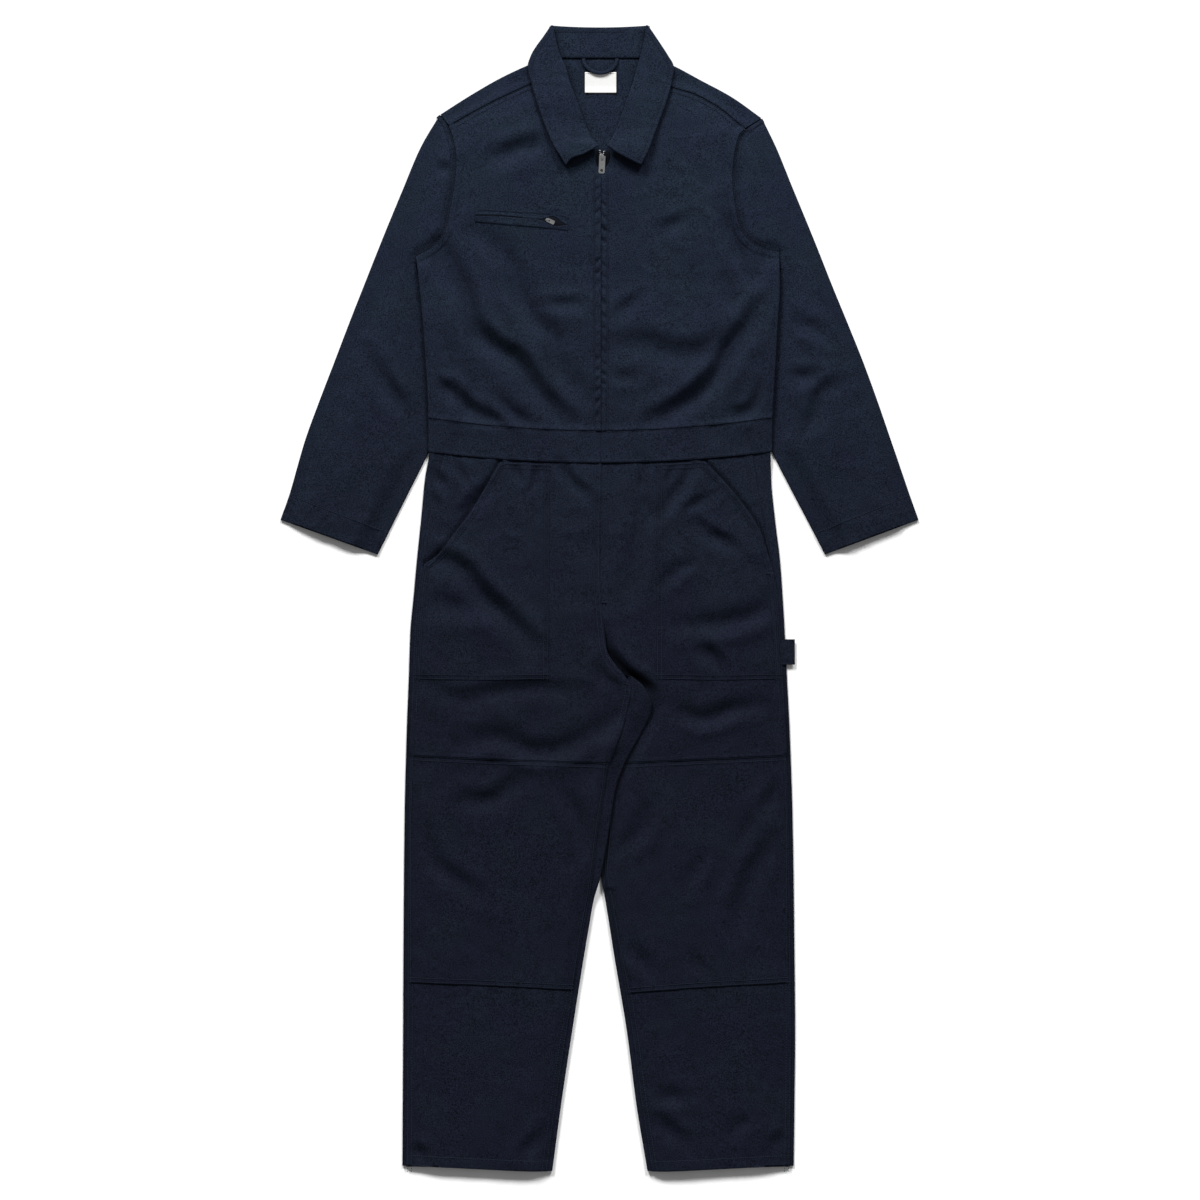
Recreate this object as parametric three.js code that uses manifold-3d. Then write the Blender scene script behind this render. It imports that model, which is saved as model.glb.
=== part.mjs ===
// A boiler suit laid out flat on its back, front side up, in millimetres.
// +X is to the right as it is looked at, +Y is towards the collar, +Z is up from the surface.
// The origin is on the surface, under the middle of the whole garment.
import * as THREE from 'three';
import Module from 'manifold-3d';
import { mergeVertices } from 'three/addons/utils/BufferGeometryUtils.js';

// Driving dimensions
const CLOTH = 1.2; // wall of the cotton cloth
const COLLAR_CLOTH = 1.6; // the collar is two layers and an interlining
const PATCH_CLOTH = 1.0; // pockets and knee patches
const SEAM = 0.3; // gap between neighbouring pieces
const LAYER = CLOTH + SEAM; // rise from one layer to the next
const AIR = 3.4; // most air between the back and the front
const RELIEF = 5; // most that the front's folds rise over its flat edges
const CROWN = 2.7; // how far the front swells between its edges
const SWELL = 60; // width of the slope from a flat edge to the full swell
const BAND = 0.8; // extra thickness of waistband, cuffs and hems
const LENGTH = 1580; // from the collar's top to the hem
const FRONT = 2; // X of the centre front
const ZIP_TOP = 616;
const ZIP_FOOT = 0;
const ZIP_WIDTH = 26;
const LEG_HEM = 15;

// Edges of the trunk and the legs' side seams, where the back comes round to the front
const trunk = [
  { y: 477, left: -254, right: 247 },
  { y: 471, left: -253, right: 247.5 },
  { y: 425, left: -247, right: 248 },
  { y: 380, left: -243, right: 245 },
  { y: 340, left: -240, right: 243 },
  { y: 273, left: -236, right: 239 },
  { y: 203, left: -235, right: 236 },
  { y: 163, left: -241, right: 237 },
  { y: 110, left: -246, right: 242 },
  { y: 52, left: -252, right: 249 },
  { y: -3, left: -257, right: 253 },
  { y: -46, left: -261, right: 255.5 },
  { y: -106, left: -263, right: 258.5 },
  { y: -185, left: -266, right: 262.5 },
  { y: -232, left: -267.5, right: 264.5 },
  { y: -308, left: -269, right: 266.5 },
  { y: -384, left: -270, right: 267.5 },
  { y: -486, left: -270.5, right: 269 },
  { y: -600, left: -271, right: 270 },
  { y: -700, left: -271.5, right: 269 },
  { y: -790, left: -272, right: 268 },
];
const sideSeam = [
  { y: 203, left: -212, right: 210 },
  { y: 163, left: -223, right: 216 },
  { y: 110, left: -235, right: 225 },
  { y: 52, left: -245, right: 238 },
  { y: -3, left: -251.5, right: 246 },
  { y: -46, left: -255, right: 249.5 },
  { y: -106, left: -257.5, right: 253 },
  { y: -185, left: -261, right: 257 },
  { y: -308, left: -263.5, right: 261 },
  { y: -486, left: -265, right: 263.5 },
  { y: -600, left: -265.5, right: 264.5 },
  { y: -790, left: -266.5, right: 262.5 },
];

// Shoulder outlines, from neck to sleeve head, and the seam that lies forward of each
const shoulder = {
  left: [
    { y: 750, x: -60, seamX: -60, seamY: 726 },
    { y: 735, x: -98, seamX: -92, seamY: 711 },
    { y: 719, x: -133, seamX: -129, seamY: 694 },
    { y: 694, x: -177, seamX: -165, seamY: 676 },
    { y: 667, x: -219.4, seamX: -207.6, seamY: 652 },
  ],
  right: [
    { y: 750, x: 62, seamX: 61, seamY: 726 },
    { y: 734, x: 102, seamX: 98, seamY: 706 },
    { y: 714, x: 140, seamX: 135, seamY: 694 },
    { y: 690, x: 184, seamX: 162, seamY: 679 },
    { y: 662, x: 223.3, seamX: 200.8, seamY: 648 },
  ],
};

// Armhole seams, from the sleeve head to the armpit
const armhole = {
  left: [
    { y: 667, x: -220 },
    { y: 651, x: -208 },
    { y: 622, x: -199 },
    { y: 599, x: -197 },
    { y: 574, x: -199 },
    { y: 534, x: -206 },
    { y: 501, x: -214 },
    { y: 487, x: -226 },
    { y: 471, x: -253 },
  ],
  right: [
    { y: 662, x: 224 },
    { y: 651, x: 207 },
    { y: 640, x: 193.5 },
    { y: 622, x: 187.5 },
    { y: 599, x: 184 },
    { y: 574, x: 183 },
    { y: 534, x: 188 },
    { y: 501, x: 197.5 },
    { y: 487, x: 211.5 },
    { y: 477, x: 247 },
  ],
};

// Sleeve sections from cuff to head: both ends and the cuff hem; the armhole cuts the last one
const sleeves = {
  left: [
    { outerX: -440, outerY: 108, innerX: -306, innerY: 60, hem: 1 },
    { outerX: -428, outerY: 142, innerX: -290, innerY: 92, hem: 1 },
    { outerX: -427.4, outerY: 144, innerX: -289, innerY: 94, hem: 0 },
    { outerX: -406, outerY: 218, innerX: -262, innerY: 148, hem: 0 },
    { outerX: -386, outerY: 273, innerX: -235.5, innerY: 201, hem: 0 },
    { outerX: -366, outerY: 325, innerX: -215, innerY: 248, hem: 0 },
    { outerX: -347, outerY: 375, innerX: -199, innerY: 310, hem: 0 },
    { outerX: -325, outerY: 431, innerX: -203, innerY: 368, hem: 0 },
    { outerX: -300, outerY: 494, innerX: -229, innerY: 418, hem: 0 },
    { outerX: -272, outerY: 562, innerX: -251.5, innerY: 448, hem: 0 },
    { outerX: -246, outerY: 623, innerX: -253.5, innerY: 461, hem: 0 },
    { outerX: -221, outerY: 666, innerX: -252.5, innerY: 470, hem: 0 },
    { outerX: -170, outerY: 690, innerX: -200, innerY: 470, hem: 0 },
  ],
  right: [
    { outerX: 440, outerY: 108, innerX: 311, innerY: 60, hem: 1 },
    { outerX: 428, outerY: 142, innerX: 295, innerY: 91, hem: 1 },
    { outerX: 427.4, outerY: 144, innerX: 294, innerY: 93, hem: 0 },
    { outerX: 402, outerY: 218, innerX: 264, innerY: 150, hem: 0 },
    { outerX: 383, outerY: 273, innerX: 237, innerY: 203, hem: 0 },
    { outerX: 364, outerY: 325, innerX: 216, innerY: 250, hem: 0 },
    { outerX: 344, outerY: 375, innerX: 201, innerY: 312, hem: 0 },
    { outerX: 321, outerY: 431, innerX: 205, innerY: 370, hem: 0 },
    { outerX: 296, outerY: 494, innerX: 229, innerY: 422, hem: 0 },
    { outerX: 268, outerY: 562, innerX: 249.5, innerY: 450, hem: 0 },
    { outerX: 243, outerY: 623, innerX: 249.5, innerY: 466, hem: 0 },
    { outerX: 225, outerY: 661, innerX: 248, innerY: 475, hem: 0 },
    { outerX: 155, outerY: 688, innerX: 180, innerY: 475, hem: 0 },
  ],
};

// Front neckline seams under the collar
const neckline = [
  { y: 726, left: -60, right: 61 },
  { y: 694, left: -48, right: 55 },
  { y: 667, left: -38, right: 45 },
  { y: 640, left: -23, right: 33 },
  { y: 622, left: -5, right: 16 },
];

// Collar: outer edge of the fall and roll line, from the top corners to the points
const collarRows = [
  { y: 789, edgeL: -66.5, rollL: -65, rollR: 65, edgeR: 66.5 },
  { y: 776, edgeL: -75, rollL: -62, rollR: 63, edgeR: 75 },
  { y: 747, edgeL: -94, rollL: -54, rollR: 57, edgeR: 94 },
  { y: 735, edgeL: -98, rollL: -48.5, rollR: 53.5, edgeR: 101 },
  { y: 710, edgeL: -93, rollL: -41, rollR: 46.5, edgeR: 98.5 },
  { y: 682, edgeL: -85, rollL: -31, rollR: 37, edgeR: 91 },
  { y: 655, edgeL: -76, rollL: -21, rollR: 27.5, edgeR: 81 },
  { y: 633, edgeL: -67, rollL: -11, rollR: 18, edgeR: 73 },
  { y: 622, edgeL: -62, rollL: -1.5, rollR: 11, edgeR: 69 },
  { y: 612, edgeL: -56, rollL: -20, rollR: 26, edgeR: 65 },
  { y: 602, edgeL: -48, rollL: -43, rollR: 45, edgeR: 60 },
  { y: 597, edgeL: -47, rollL: -46, rollR: 54, edgeR: 58 },
];
const COLLAR_TOP = LENGTH / 2;
const COLLAR_DIP = 2.5; // the top edge sags between its corners
const COLLAR_HALF = 66;
const FALL_FOOT = 736; // lower edge of the fall behind the neck
const NECK_SEAM = 745;
const POINT_LIFT = 3.6; // how far the collar's points stand up

// Centre front seam and crotch: rise, then inseams and inner edges of both legs
const rise = [
  { y: 188, x: 2 },
  { y: -3, x: 2 },
  { y: -46, x: 6 },
  { y: -79, x: 12 },
  { y: -92, x: 21 },
  { y: -106, x: 33 },
];
const legs = [
  { y: -120, seamL: 42, edgeL: 60, edgeR: 44, seamR: 50 },
  { y: -149, seamL: 39, edgeL: 72, edgeR: 50, seamR: 62 },
  { y: -185, seamL: 29, edgeL: 58, edgeR: 27, seamR: 48 },
  { y: -208, seamL: 20, edgeL: 45, edgeR: 16, seamR: 35 },
  { y: -232, seamL: 12, edgeL: 33, edgeR: 8, seamR: 24 },
  { y: -264, seamL: 7, edgeL: 22, edgeR: 2, seamR: 14 },
  { y: -308, seamL: 0, edgeL: 15, edgeR: -1, seamR: 9 },
  { y: -384, seamL: -9.5, edgeL: 1.4, edgeR: 2, seamR: 8 },
  { y: -417, seamL: -14, edgeL: -8, edgeR: 8, seamR: 14 },
  { y: -451, seamL: -20.5, edgeL: -14, edgeR: 13.5, seamR: 20 },
  { y: -486, seamL: -27, edgeL: -20, edgeR: 19, seamR: 26 },
  { y: -600, seamL: -45, edgeL: -38, edgeR: 38, seamR: 45 },
  { y: -700, seamL: -60, edgeL: -53, edgeR: 51, seamR: 58 },
  { y: -790, seamL: -72, edgeL: -65, edgeR: 66, seamR: 72 },
];
const CROTCH = -120;
const seatSeam = [
  { y: 188, x: 1 },
  { y: -46, x: 1 },
  { y: -79, x: 7 },
  { y: -106, x: 27 },
  { y: -120, x: 44 },
];

// Column spacing across the panels, as shares of their width, closer where layers cross
const acrossBack = [
  0, 0.025, 0.06, 0.095, 0.135, 0.185, 0.34, 0.5, 0.66, 0.815, 0.865, 0.905, 0.94, 0.975, 1,
];
const acrossFront = [0, 0.05, 0.12, 0.19, 0.27, 0.37, 0.48, 0.6, 0.72, 0.83, 0.93, 1];
const acrossLeg = [0, 0.06, 0.15, 0.28, 0.42, 0.57, 0.72, 0.84, 0.94, 1];
const acrossLegBack = [0, 0.09, 0.18, 0.4, 0.62, 0.83, 0.91, 0.955, 1];
const acrossBand = [0, 0.025, 0.06, 0.095, 0.13, 0.18, 0.26, 0.34, 0.42, 0.5];
const mirrored = (shares) => shares.map((share) => 1 - share).toReversed();
const acrossWaist = [...acrossBand, ...mirrored(acrossBand).slice(1)];

// Main folds of the front, each a curve through three places, as a soft trough
const folds = [
  { x0: -216, y0: 469, x1: -160, y1: 372, x2: -77, y2: 246, width: 13, depth: 3.2 },
  { x0: -141, y0: 493, x1: -103, y1: 410, x2: -58, y2: 326, width: 15, depth: 3.0 },
  { x0: -233, y0: 294, x1: -192, y1: 288, x2: -141, y2: 242, width: 11, depth: 2.6 },
  { x0: -152, y0: 290, x1: -122, y1: 258, x2: -96, y2: 240, width: 8, depth: 1.8 },
  { x0: -60, y0: 408, x1: -40, y1: 402, x2: -20, y2: 398, width: 9, depth: 1.6 },
  { x0: -141, y0: 603, x1: -112, y1: 620, x2: -77, y2: 626, width: 11, depth: 2.4 },
  { x0: 219, y0: 420, x1: 176, y1: 320, x2: 94, y2: 243, width: 13, depth: 3.2 },
  { x0: 200, y0: 492, x1: 206, y1: 440, x2: 196, y2: 412, width: 11, depth: 2.2 },
  { x0: 29, y0: 385, x1: 45, y1: 402, x2: 62, y2: 413, width: 9, depth: 1.6 },
  { x0: 60, y0: 340, x1: 110, y1: 346, x2: 178, y2: 352, width: 16, depth: 2.2 },
  { x0: 62, y0: 562, x1: 96, y1: 572, x2: 126, y2: 583, width: 10, depth: 1.6 },
  { x0: 215, y0: 280, x1: 204, y1: 262, x2: 184, y2: 250, width: 9, depth: 1.6 },
  { x0: -223, y0: 50, x1: -170, y1: 0, x2: -107, y2: -46, width: 15, depth: 3.0 },
  { x0: -250, y0: -20, x1: -222, y1: -16, x2: -191, y2: -15, width: 16, depth: 2.2 },
  { x0: -236, y0: -110, x1: -200, y1: -124, x2: -46, y2: -112, width: 11, depth: 2.0 },
  { x0: -117, y0: -206, x1: -50, y1: -216, x2: 10, y2: -172, width: 14, depth: 2.6 },
  { x0: -50, y0: 185, x1: -32, y1: 153, x2: -14, y2: 139, width: 8, depth: 1.8 },
  { x0: 129, y0: 171, x1: 105, y1: 146, x2: 90, y2: 121, width: 9, depth: 2.0 },
  { x0: 129, y0: 108, x1: 148, y1: 92, x2: 165, y2: 83, width: 10, depth: 1.8 },
  { x0: 41, y0: 121, x1: 41, y1: 62, x2: 24, y2: -44, width: 12, depth: 2.0 },
  { x0: 30, y0: -86, x1: 76, y1: -140, x2: 207, y2: -138, width: 13, depth: 2.8 },
  { x0: 119, y0: -58, x1: 142, y1: -70, x2: 161, y2: -92, width: 12, depth: 1.8 },
  { x0: 240, y0: -20, x1: 205, y1: -52, x2: 150, y2: -44, width: 14, depth: 2.0 },
  { x0: -303, y0: 340, x1: -278, y1: 275, x2: -246, y2: 226, width: 14, depth: 2.6 },
  { x0: 246, y0: 362, x1: 264, y1: 356, x2: 284, y2: 352, width: 10, depth: 1.6 },
  { x0: 246, y0: 306, x1: 270, y1: 304, x2: 300, y2: 318, width: 11, depth: 1.8 },
  { x0: 250, y0: 234, x1: 282, y1: 258, x2: 298, y2: 300, width: 11, depth: 1.6 },
  { x0: 42, y0: -486, x1: 58, y1: -512, x2: 66, y2: -530, width: 10, depth: 1.8 },
  { x0: 206, y0: -330, x1: 196, y1: -400, x2: 176, y2: -470, width: 12, depth: 1.4 },
  { x0: -252, y0: -762, x1: -238, y1: -774, x2: -214, y2: -778, width: 10, depth: 1.6 },
  { x0: -96, y0: -740, x1: -106, y1: -762, x2: -124, y2: -774, width: 9, depth: 1.4 },
  { x0: 84, y0: -738, x1: 100, y1: -760, x2: 128, y2: -772, width: 10, depth: 1.6 },
];

// Small helpers: straight interpolation down a table, a soft ramp, and a mix of two values
function column(rows, key, by = 'y') {
  return (place) => {
    const low = rows.findIndex((row) => row[by] <= place);
    if (low === 0) return rows[0][key];
    if (low < 0) return rows[rows.length - 1][key];
    const above = rows[low - 1];
    const below = rows[low];
    return mix(below[key], above[key], (place - below[by]) / (above[by] - below[by]));
  };
}
function mix(a, b, t) {
  return a + (b - a) * t;
}
function ramp(distance, width) {
  const t = Math.min(Math.max(distance / width, 0), 1);
  return t * t * (3 - 2 * t);
}

// Levels of a panel's rows: every level of the given tables, and no step longer than asked
function levels(top, foot, step, ...tables) {
  const known = tables.flat().map((row) => row.y);
  const marks = [...new Set([top, foot, ...known])];
  const inside = marks.filter((y) => y <= top && y >= foot).sort((a, b) => b - a);
  const list = [top];
  for (let i = 1; i < inside.length; i++) {
    const parts = Math.ceil((inside[i - 1] - inside[i]) / step);
    for (let p = 1; p <= parts; p++) list.push(mix(inside[i - 1], inside[i], p / parts));
  }
  return list;
}

// A closed solid between rows of outer points and rows of inner points
const wasm = await Module();
wasm.setup();

function wall(outer, inner, ring = false) {
  const rows = outer.length;
  const across = outer[0].length;
  const steps = ring ? across : across - 1;
  const points = [...outer.flat(), ...inner.flat()];
  const at = (side, r, c) => side * rows * across + r * across + (c % across);
  const faces = [];
  const quad = (a, b, c, d) => faces.push([a, b, c], [a, c, d]);
  for (let c = 0; c < steps; c++) {
    for (let r = 0; r < rows - 1; r++) {
      quad(at(0, r, c), at(0, r + 1, c), at(0, r + 1, c + 1), at(0, r, c + 1));
      quad(at(1, r, c), at(1, r, c + 1), at(1, r + 1, c + 1), at(1, r + 1, c));
    }
    quad(at(0, 0, c), at(0, 0, c + 1), at(1, 0, c + 1), at(1, 0, c));
    quad(at(0, rows - 1, c + 1), at(0, rows - 1, c), at(1, rows - 1, c), at(1, rows - 1, c + 1));
  }
  for (let r = 0; r < rows - 1 && !ring; r++) {
    quad(at(0, r, 0), at(1, r, 0), at(1, r + 1, 0), at(0, r + 1, 0));
    quad(at(0, r, steps), at(0, r + 1, steps), at(1, r + 1, steps), at(1, r, steps));
  }
  const spanned = (f) => points[f[0]].dot(points[f[1]].clone().cross(points[f[2]]));
  const volume = faces.reduce((sum, f) => sum + spanned(f), 0);
  const turned = volume < 0 ? faces.map((f) => [f[0], f[2], f[1]]) : faces;
  const vertProperties = new Float32Array(points.flatMap((p) => [p.x, p.y, p.z]));
  const triVerts = new Uint32Array(turned.flat());
  return new wasm.Manifold(new wasm.Mesh({ numProp: 3, vertProperties, triVerts }));
}

// A grid of points between a left and a right edge, with its height given by a function
const even = (parts) => Array.from({ length: parts + 1 }, (_, i) => i / parts);
function grid({ rows, left, right, across, height, first, last }) {
  return rows.map((y, r) => {
    const end = r === 0 ? first : r === rows.length - 1 ? last : undefined;
    return across.map((share) => {
      let level = y;
      let x = mix(left(level), right(level), share);
      for (let turn = 0; end && turn < 4; turn++) {
        level = end(x);
        x = mix(left(level), right(level), share);
      }
      return new THREE.Vector3(x, level, height(x, level));
    });
  });
}
function sheet(plan, under, over) {
  return wall(grid({ ...plan, height: over }), grid({ ...plan, height: under }));
}

// Cloth folded round an edge: it starts inside the lower layer, turns and ends at a seam above
const TUCK = 8;
function foldedEdge(stations) {
  const sections = stations.map(({ edge, seam, base, top }) => {
    const inward = seam.clone().sub(edge);
    const width = inward.length();
    inward.normalize();
    const middle = (d) => base(edge.x + inward.x * d, edge.y + inward.y * d) + CLOTH / 2;
    const low = middle(0);
    const bend = LAYER / 2 + CLOTH / 2;
    const path = [
      { d: TUCK, z: middle(TUCK), half: CLOTH * 0.2 },
      { d: 4, z: middle(4), half: CLOTH * 0.46 },
      { d: bend, z: low, half: CLOTH / 2 },
      { d: CLOTH / 2, z: low + LAYER / 2, half: CLOTH / 2 },
      { d: bend, z: low + LAYER, half: CLOTH / 2 },
      { d: width, z: top + CLOTH / 2, half: CLOTH / 2 },
    ];
    const last = path.length - 1;
    const faces = path.map((point, i) => {
      const before = path[Math.max(i - 1, 0)];
      const after = path[Math.min(i + 1, last)];
      const slope = i === last ? 0 : after.z - before.z;
      const across = new THREE.Vector2(slope, before.d - after.d).normalize();
      return [1, -1].map((side) => {
        const d = point.d + side * across.x * point.half;
        const z = point.z + side * across.y * point.half;
        return new THREE.Vector3(edge.x + inward.x * d, edge.y + inward.y * d, z);
      });
    });
    return { inner: faces.map((pair) => pair[0]), outer: faces.map((pair) => pair[1]) };
  });
  return wall(
    sections.map((s) => s.outer),
    sections.map((s) => s.inner),
  );
}

// A seam line moved sideways by half the seam gap
function shifted(points, by) {
  return points.map((p, i) => {
    const before = points[Math.max(i - 1, 0)];
    const after = points[Math.min(i + 1, points.length - 1)];
    const along = new THREE.Vector2(after.x - before.x, after.y - before.y).normalize();
    return { x: p.x - along.y * by, y: p.y + along.x * by };
  });
}

// How high the lower layer lies: over the tucked-in sleeves, the collar's fall and the other leg
const trunkX = { left: column(trunk, 'left'), right: column(trunk, 'right') };
const innerRows = (side) =>
  sleeves[side].slice(0, -1).map((row) => ({ y: row.innerY, x: row.innerX })).toReversed();
const tuckLeft = column(innerRows('left'), 'x');
const tuckRight = column(innerRows('right'), 'x');
function sleeveLift(x, y) {
  const along = ramp(y - 160, 40) * ramp(469 - y, 20);
  const left = ramp(tuckLeft(y) + 34 - x, 24);
  const right = ramp(x - tuckRight(y) + 34, 24);
  return (2 * LAYER + 0.5) * along * Math.max(left, right);
}
function collarLift(x, y) {
  return LAYER * ramp(y - 700, 30) * (1 - ramp(Math.abs(x) - 107, 28));
}
const edgeL = column(legs, 'edgeL');
const edgeR = column(legs, 'edgeR');
const seatX = column(seatSeam, 'x');
const underEdge = (y) => (y > CROTCH ? seatX(y) : edgeR(y));
function legLift(x, y) {
  const along = ramp(-60 - y, 50) * ramp(y + 486, 102);
  const patched = (SEAM + PATCH_CLOTH + 0.2) * ramp(-185 - y, 22);
  return (2 * LAYER + 0.6 + patched) * along * ramp(x - underEdge(y) + 22, 16);
}
const baseTorso = (x, y) => sleeveLift(x, y) + collarLift(x, y);
const baseLeft = (x, y) => sleeveLift(x, y) + legLift(x, y);
const baseRight = (x, y) => sleeveLift(x, y);

// Relief of the front over its flat edges: the swell between the edges, and the folds in it
function foldDepth(x, y) {
  let sum = 0;
  for (const f of folds) {
    const reach = 3.2 * f.width;
    if (x < Math.min(f.x0, f.x1, f.x2) - reach || x > Math.max(f.x0, f.x1, f.x2) + reach) continue;
    if (y < Math.min(f.y0, f.y1, f.y2) - reach || y > Math.max(f.y0, f.y1, f.y2) + reach) continue;
    let best = Infinity;
    let bestT = 0;
    for (let t = 0; t <= 1; t += 0.05) {
      const px = (1 - t) ** 2 * f.x0 + 2 * t * (1 - t) * f.x1 + t * t * f.x2;
      const py = (1 - t) ** 2 * f.y0 + 2 * t * (1 - t) * f.y1 + t * t * f.y2;
      const far = Math.hypot(x - px, y - py);
      if (far < best) {
        best = far;
        bestT = t;
      }
    }
    const away = (best / f.width) ** 2;
    const fade = Math.sin(Math.PI * mix(0.08, 0.92, bestT)) ** 0.5;
    sum += f.depth * fade * (0.8 * away - 1) * Math.exp(-away);
  }
  return sum;
}
const fallRows = (key) => collarRows.filter((row) => row.y > 735).map((row) => ({ y: row.y, x: row[key] }));
const headLeft = [...fallRows('edgeL'), ...shoulder.left.slice(1)];
const headRight = [...fallRows('edgeR'), ...shoulder.right.slice(1)];
const outerRows = (side) =>
  sleeves[side].slice(0, -1).map((row) => ({ y: row.outerY, x: row.outerX })).toReversed();
const outlineLeft = column([...headLeft, ...outerRows('left')], 'x');
const outlineRight = column([...headRight, ...outerRows('right')], 'x');
const shoulderY = column([...shoulder.right.toReversed(), ...shoulder.left], 'y', 'x');
const edgeLeft = (y) => mix(trunkX.left(y), outlineLeft(y), ramp(y - 465, 95));
const edgeRight = (y) => mix(trunkX.right(y), outlineRight(y), ramp(y - 465, 95));
const riseX = column(rise, 'x');
const zipSwell = (x, y) => 2.2 * ramp(34 - Math.abs(x - FRONT), 14) * ramp(y + 40, 40) * ramp(640 - y, 20);
function swelled(x, y, inside) {
  const below = ramp(0.89 * (shoulderY(x) - y) - 2, SWELL);
  const swell = CROWN * ramp(x - edgeLeft(y), SWELL) * ramp(edgeRight(y) - x, SWELL) * below * inside;
  const near = ramp(x - edgeLeft(y) - 4, 22) * ramp(edgeRight(y) - x - 4, 22) * inside;
  const calm = 1 - 0.85 * ramp(y - 640, 50);
  const relief = swell + near * calm * foldDepth(x, y);
  return Math.min(Math.max(relief, zipSwell(x, y), 0), RELIEF);
}
const reliefTorso = (x, y) => swelled(x, y, 1);
const innerLeft = (x, y) => mix(1, ramp(edgeL(y) - x, 45), ramp(-110 - y, 70));
const innerRight = (x, y) => {
  const from = y > CROTCH ? riseX(y) : edgeL(y) + 2;
  const visible = y > -400 ? from : edgeR(y);
  return mix(1, ramp(x - visible, 50), ramp(10 - y, 90));
};
const reliefLeft = (x, y) => swelled(x, y, innerLeft(x, y));
const reliefRight = (x, y) => swelled(x, y, innerRight(x, y));

// Upper and lower faces of a front piece on its base
const overOf = (level, rises, extra = 0) => (x, y) => level(x, y) + LAYER + CLOTH + rises(x, y) + extra;
const underOf = (level, rises) => (x, y) => level(x, y) + LAYER + Math.min(rises(x, y), AIR);
const backOver = (level) => (x, y) => level(x, y) + CLOTH;
const torsoTop = (x, y) => baseTorso(x, y) + LAYER + reliefTorso(x, y);

// Solids to meshes, and closed meshes to solids
function toGeometry(solid) {
  const mesh = solid.getMesh();
  const geometry = new THREE.BufferGeometry();
  geometry.setAttribute('position', new THREE.BufferAttribute(new Float32Array(mesh.vertProperties), 3));
  geometry.setIndex([...mesh.triVerts]);
  return geometry;
}
function toSolid(geometry) {
  const bare = geometry.clone();
  bare.deleteAttribute('normal');
  bare.deleteAttribute('uv');
  const merged = mergeVertices(bare, 1e-4);
  const vertProperties = new Float32Array(merged.attributes.position.array);
  const triVerts = new Uint32Array(merged.index.array);
  return new wasm.Manifold(new wasm.Mesh({ numProp: 3, vertProperties, triVerts }));
}
const join = (solids) => solids.reduce((sum, solid) => sum.add(solid));

// A flat outline as a prism between two heights
function prism(outline, low, high, holes = []) {
  const shape = new THREE.Shape(outline.map(([x, y]) => new THREE.Vector2(x, y)));
  for (const hole of holes) shape.holes.push(new THREE.Path(hole.map(([x, y]) => new THREE.Vector2(x, y))));
  const geometry = new THREE.ExtrudeGeometry(shape, { depth: high - low, bevelEnabled: false });
  geometry.translate(0, 0, low);
  return toSolid(geometry);
}

// A piece that lies on a panel: the panel's own points moved out, inside the piece's outline
function patch(points, outline, from = SEAM, thickness = PATCH_CLOTH) {
  const moved = (by) => points.map((row) => row.map((p) => new THREE.Vector3(p.x, p.y, p.z + by)));
  return wall(moved(from + thickness), moved(from)).intersect(prism(outline, -5, 40));
}

const suit = new THREE.Group();
const NAVY = 0x1a1f2a;
const METAL = 0xc9cbce;
function cloth(name, solid, color = NAVY) {
  const material = new THREE.MeshStandardMaterial({ color, roughness: 0.92, metalness: 0 });
  const mesh = new THREE.Mesh(toGeometry(solid), material);
  mesh.name = name;
  suit.add(mesh);
}
function metal(name, solid) {
  const material = new THREE.MeshStandardMaterial({ color: METAL, roughness: 0.3, metalness: 1 });
  const mesh = new THREE.Mesh(toGeometry(solid), material);
  mesh.name = name;
  suit.add(mesh);
}

// Waist seams: the band dips at the middle
const waistTop = (x) => 230.5 + 17.5 * (x / 235) ** 2;
const waistFoot = (x) => 188 + 15 * (x / 236) ** 2;

// Back bodice: one sheet, with its shoulders folded forward to the shoulder seams
const SHOULDER_INSET = 5;
const LAST_SHOWN = 449; // below this level a sleeve's inner edge is under the trunk
const HALF_GAP = SEAM * 0.7;
const headX = { left: column(shoulder.left, 'x'), right: column(shoulder.right, 'x') };
const holeX = {
  left: column(shifted(armhole.left, HALF_GAP), 'x'),
  right: column(shifted(armhole.right, -HALF_GAP), 'x'),
};
const armpit = (side) => armhole[side][armhole[side].length - 1].y;
const sideX = (side) => (y) => (y > armpit(side) ? holeX[side](y) : trunkX[side](y));
const backEdge = (side) => (y) =>
  y > armhole[side][0].y - SHOULDER_INSET ? headX[side](y + SHOULDER_INSET) : sideX(side)(y);
const liftRows = [{ y: 730 }, { y: 700 }, { y: LAST_SHOWN }];
const backBodice = sheet(
  {
    rows: [...levels(NECK_SEAM - SEAM, 262, 28, armhole.left, armhole.right, liftRows), 240],
    left: backEdge('left'),
    right: backEdge('right'),
    across: acrossBack,
    last: (x) => waistTop(x) + SEAM,
  },
  baseTorso,
  backOver(baseTorso),
);
const shoulderFold = (side) =>
  foldedEdge(
    shoulder[side].map((row) => {
      const edge = new THREE.Vector2(row.x, row.y);
      const seam = new THREE.Vector2(row.seamX, row.seamY);
      seam.addScaledVector(edge.clone().sub(seam).normalize(), SEAM / 2);
      return { edge, seam, base: baseTorso, top: torsoTop(row.seamX, row.seamY) };
    }),
  );
cloth('back_bodice', join([backBodice, shoulderFold('left'), shoulderFold('right')]));

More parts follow.
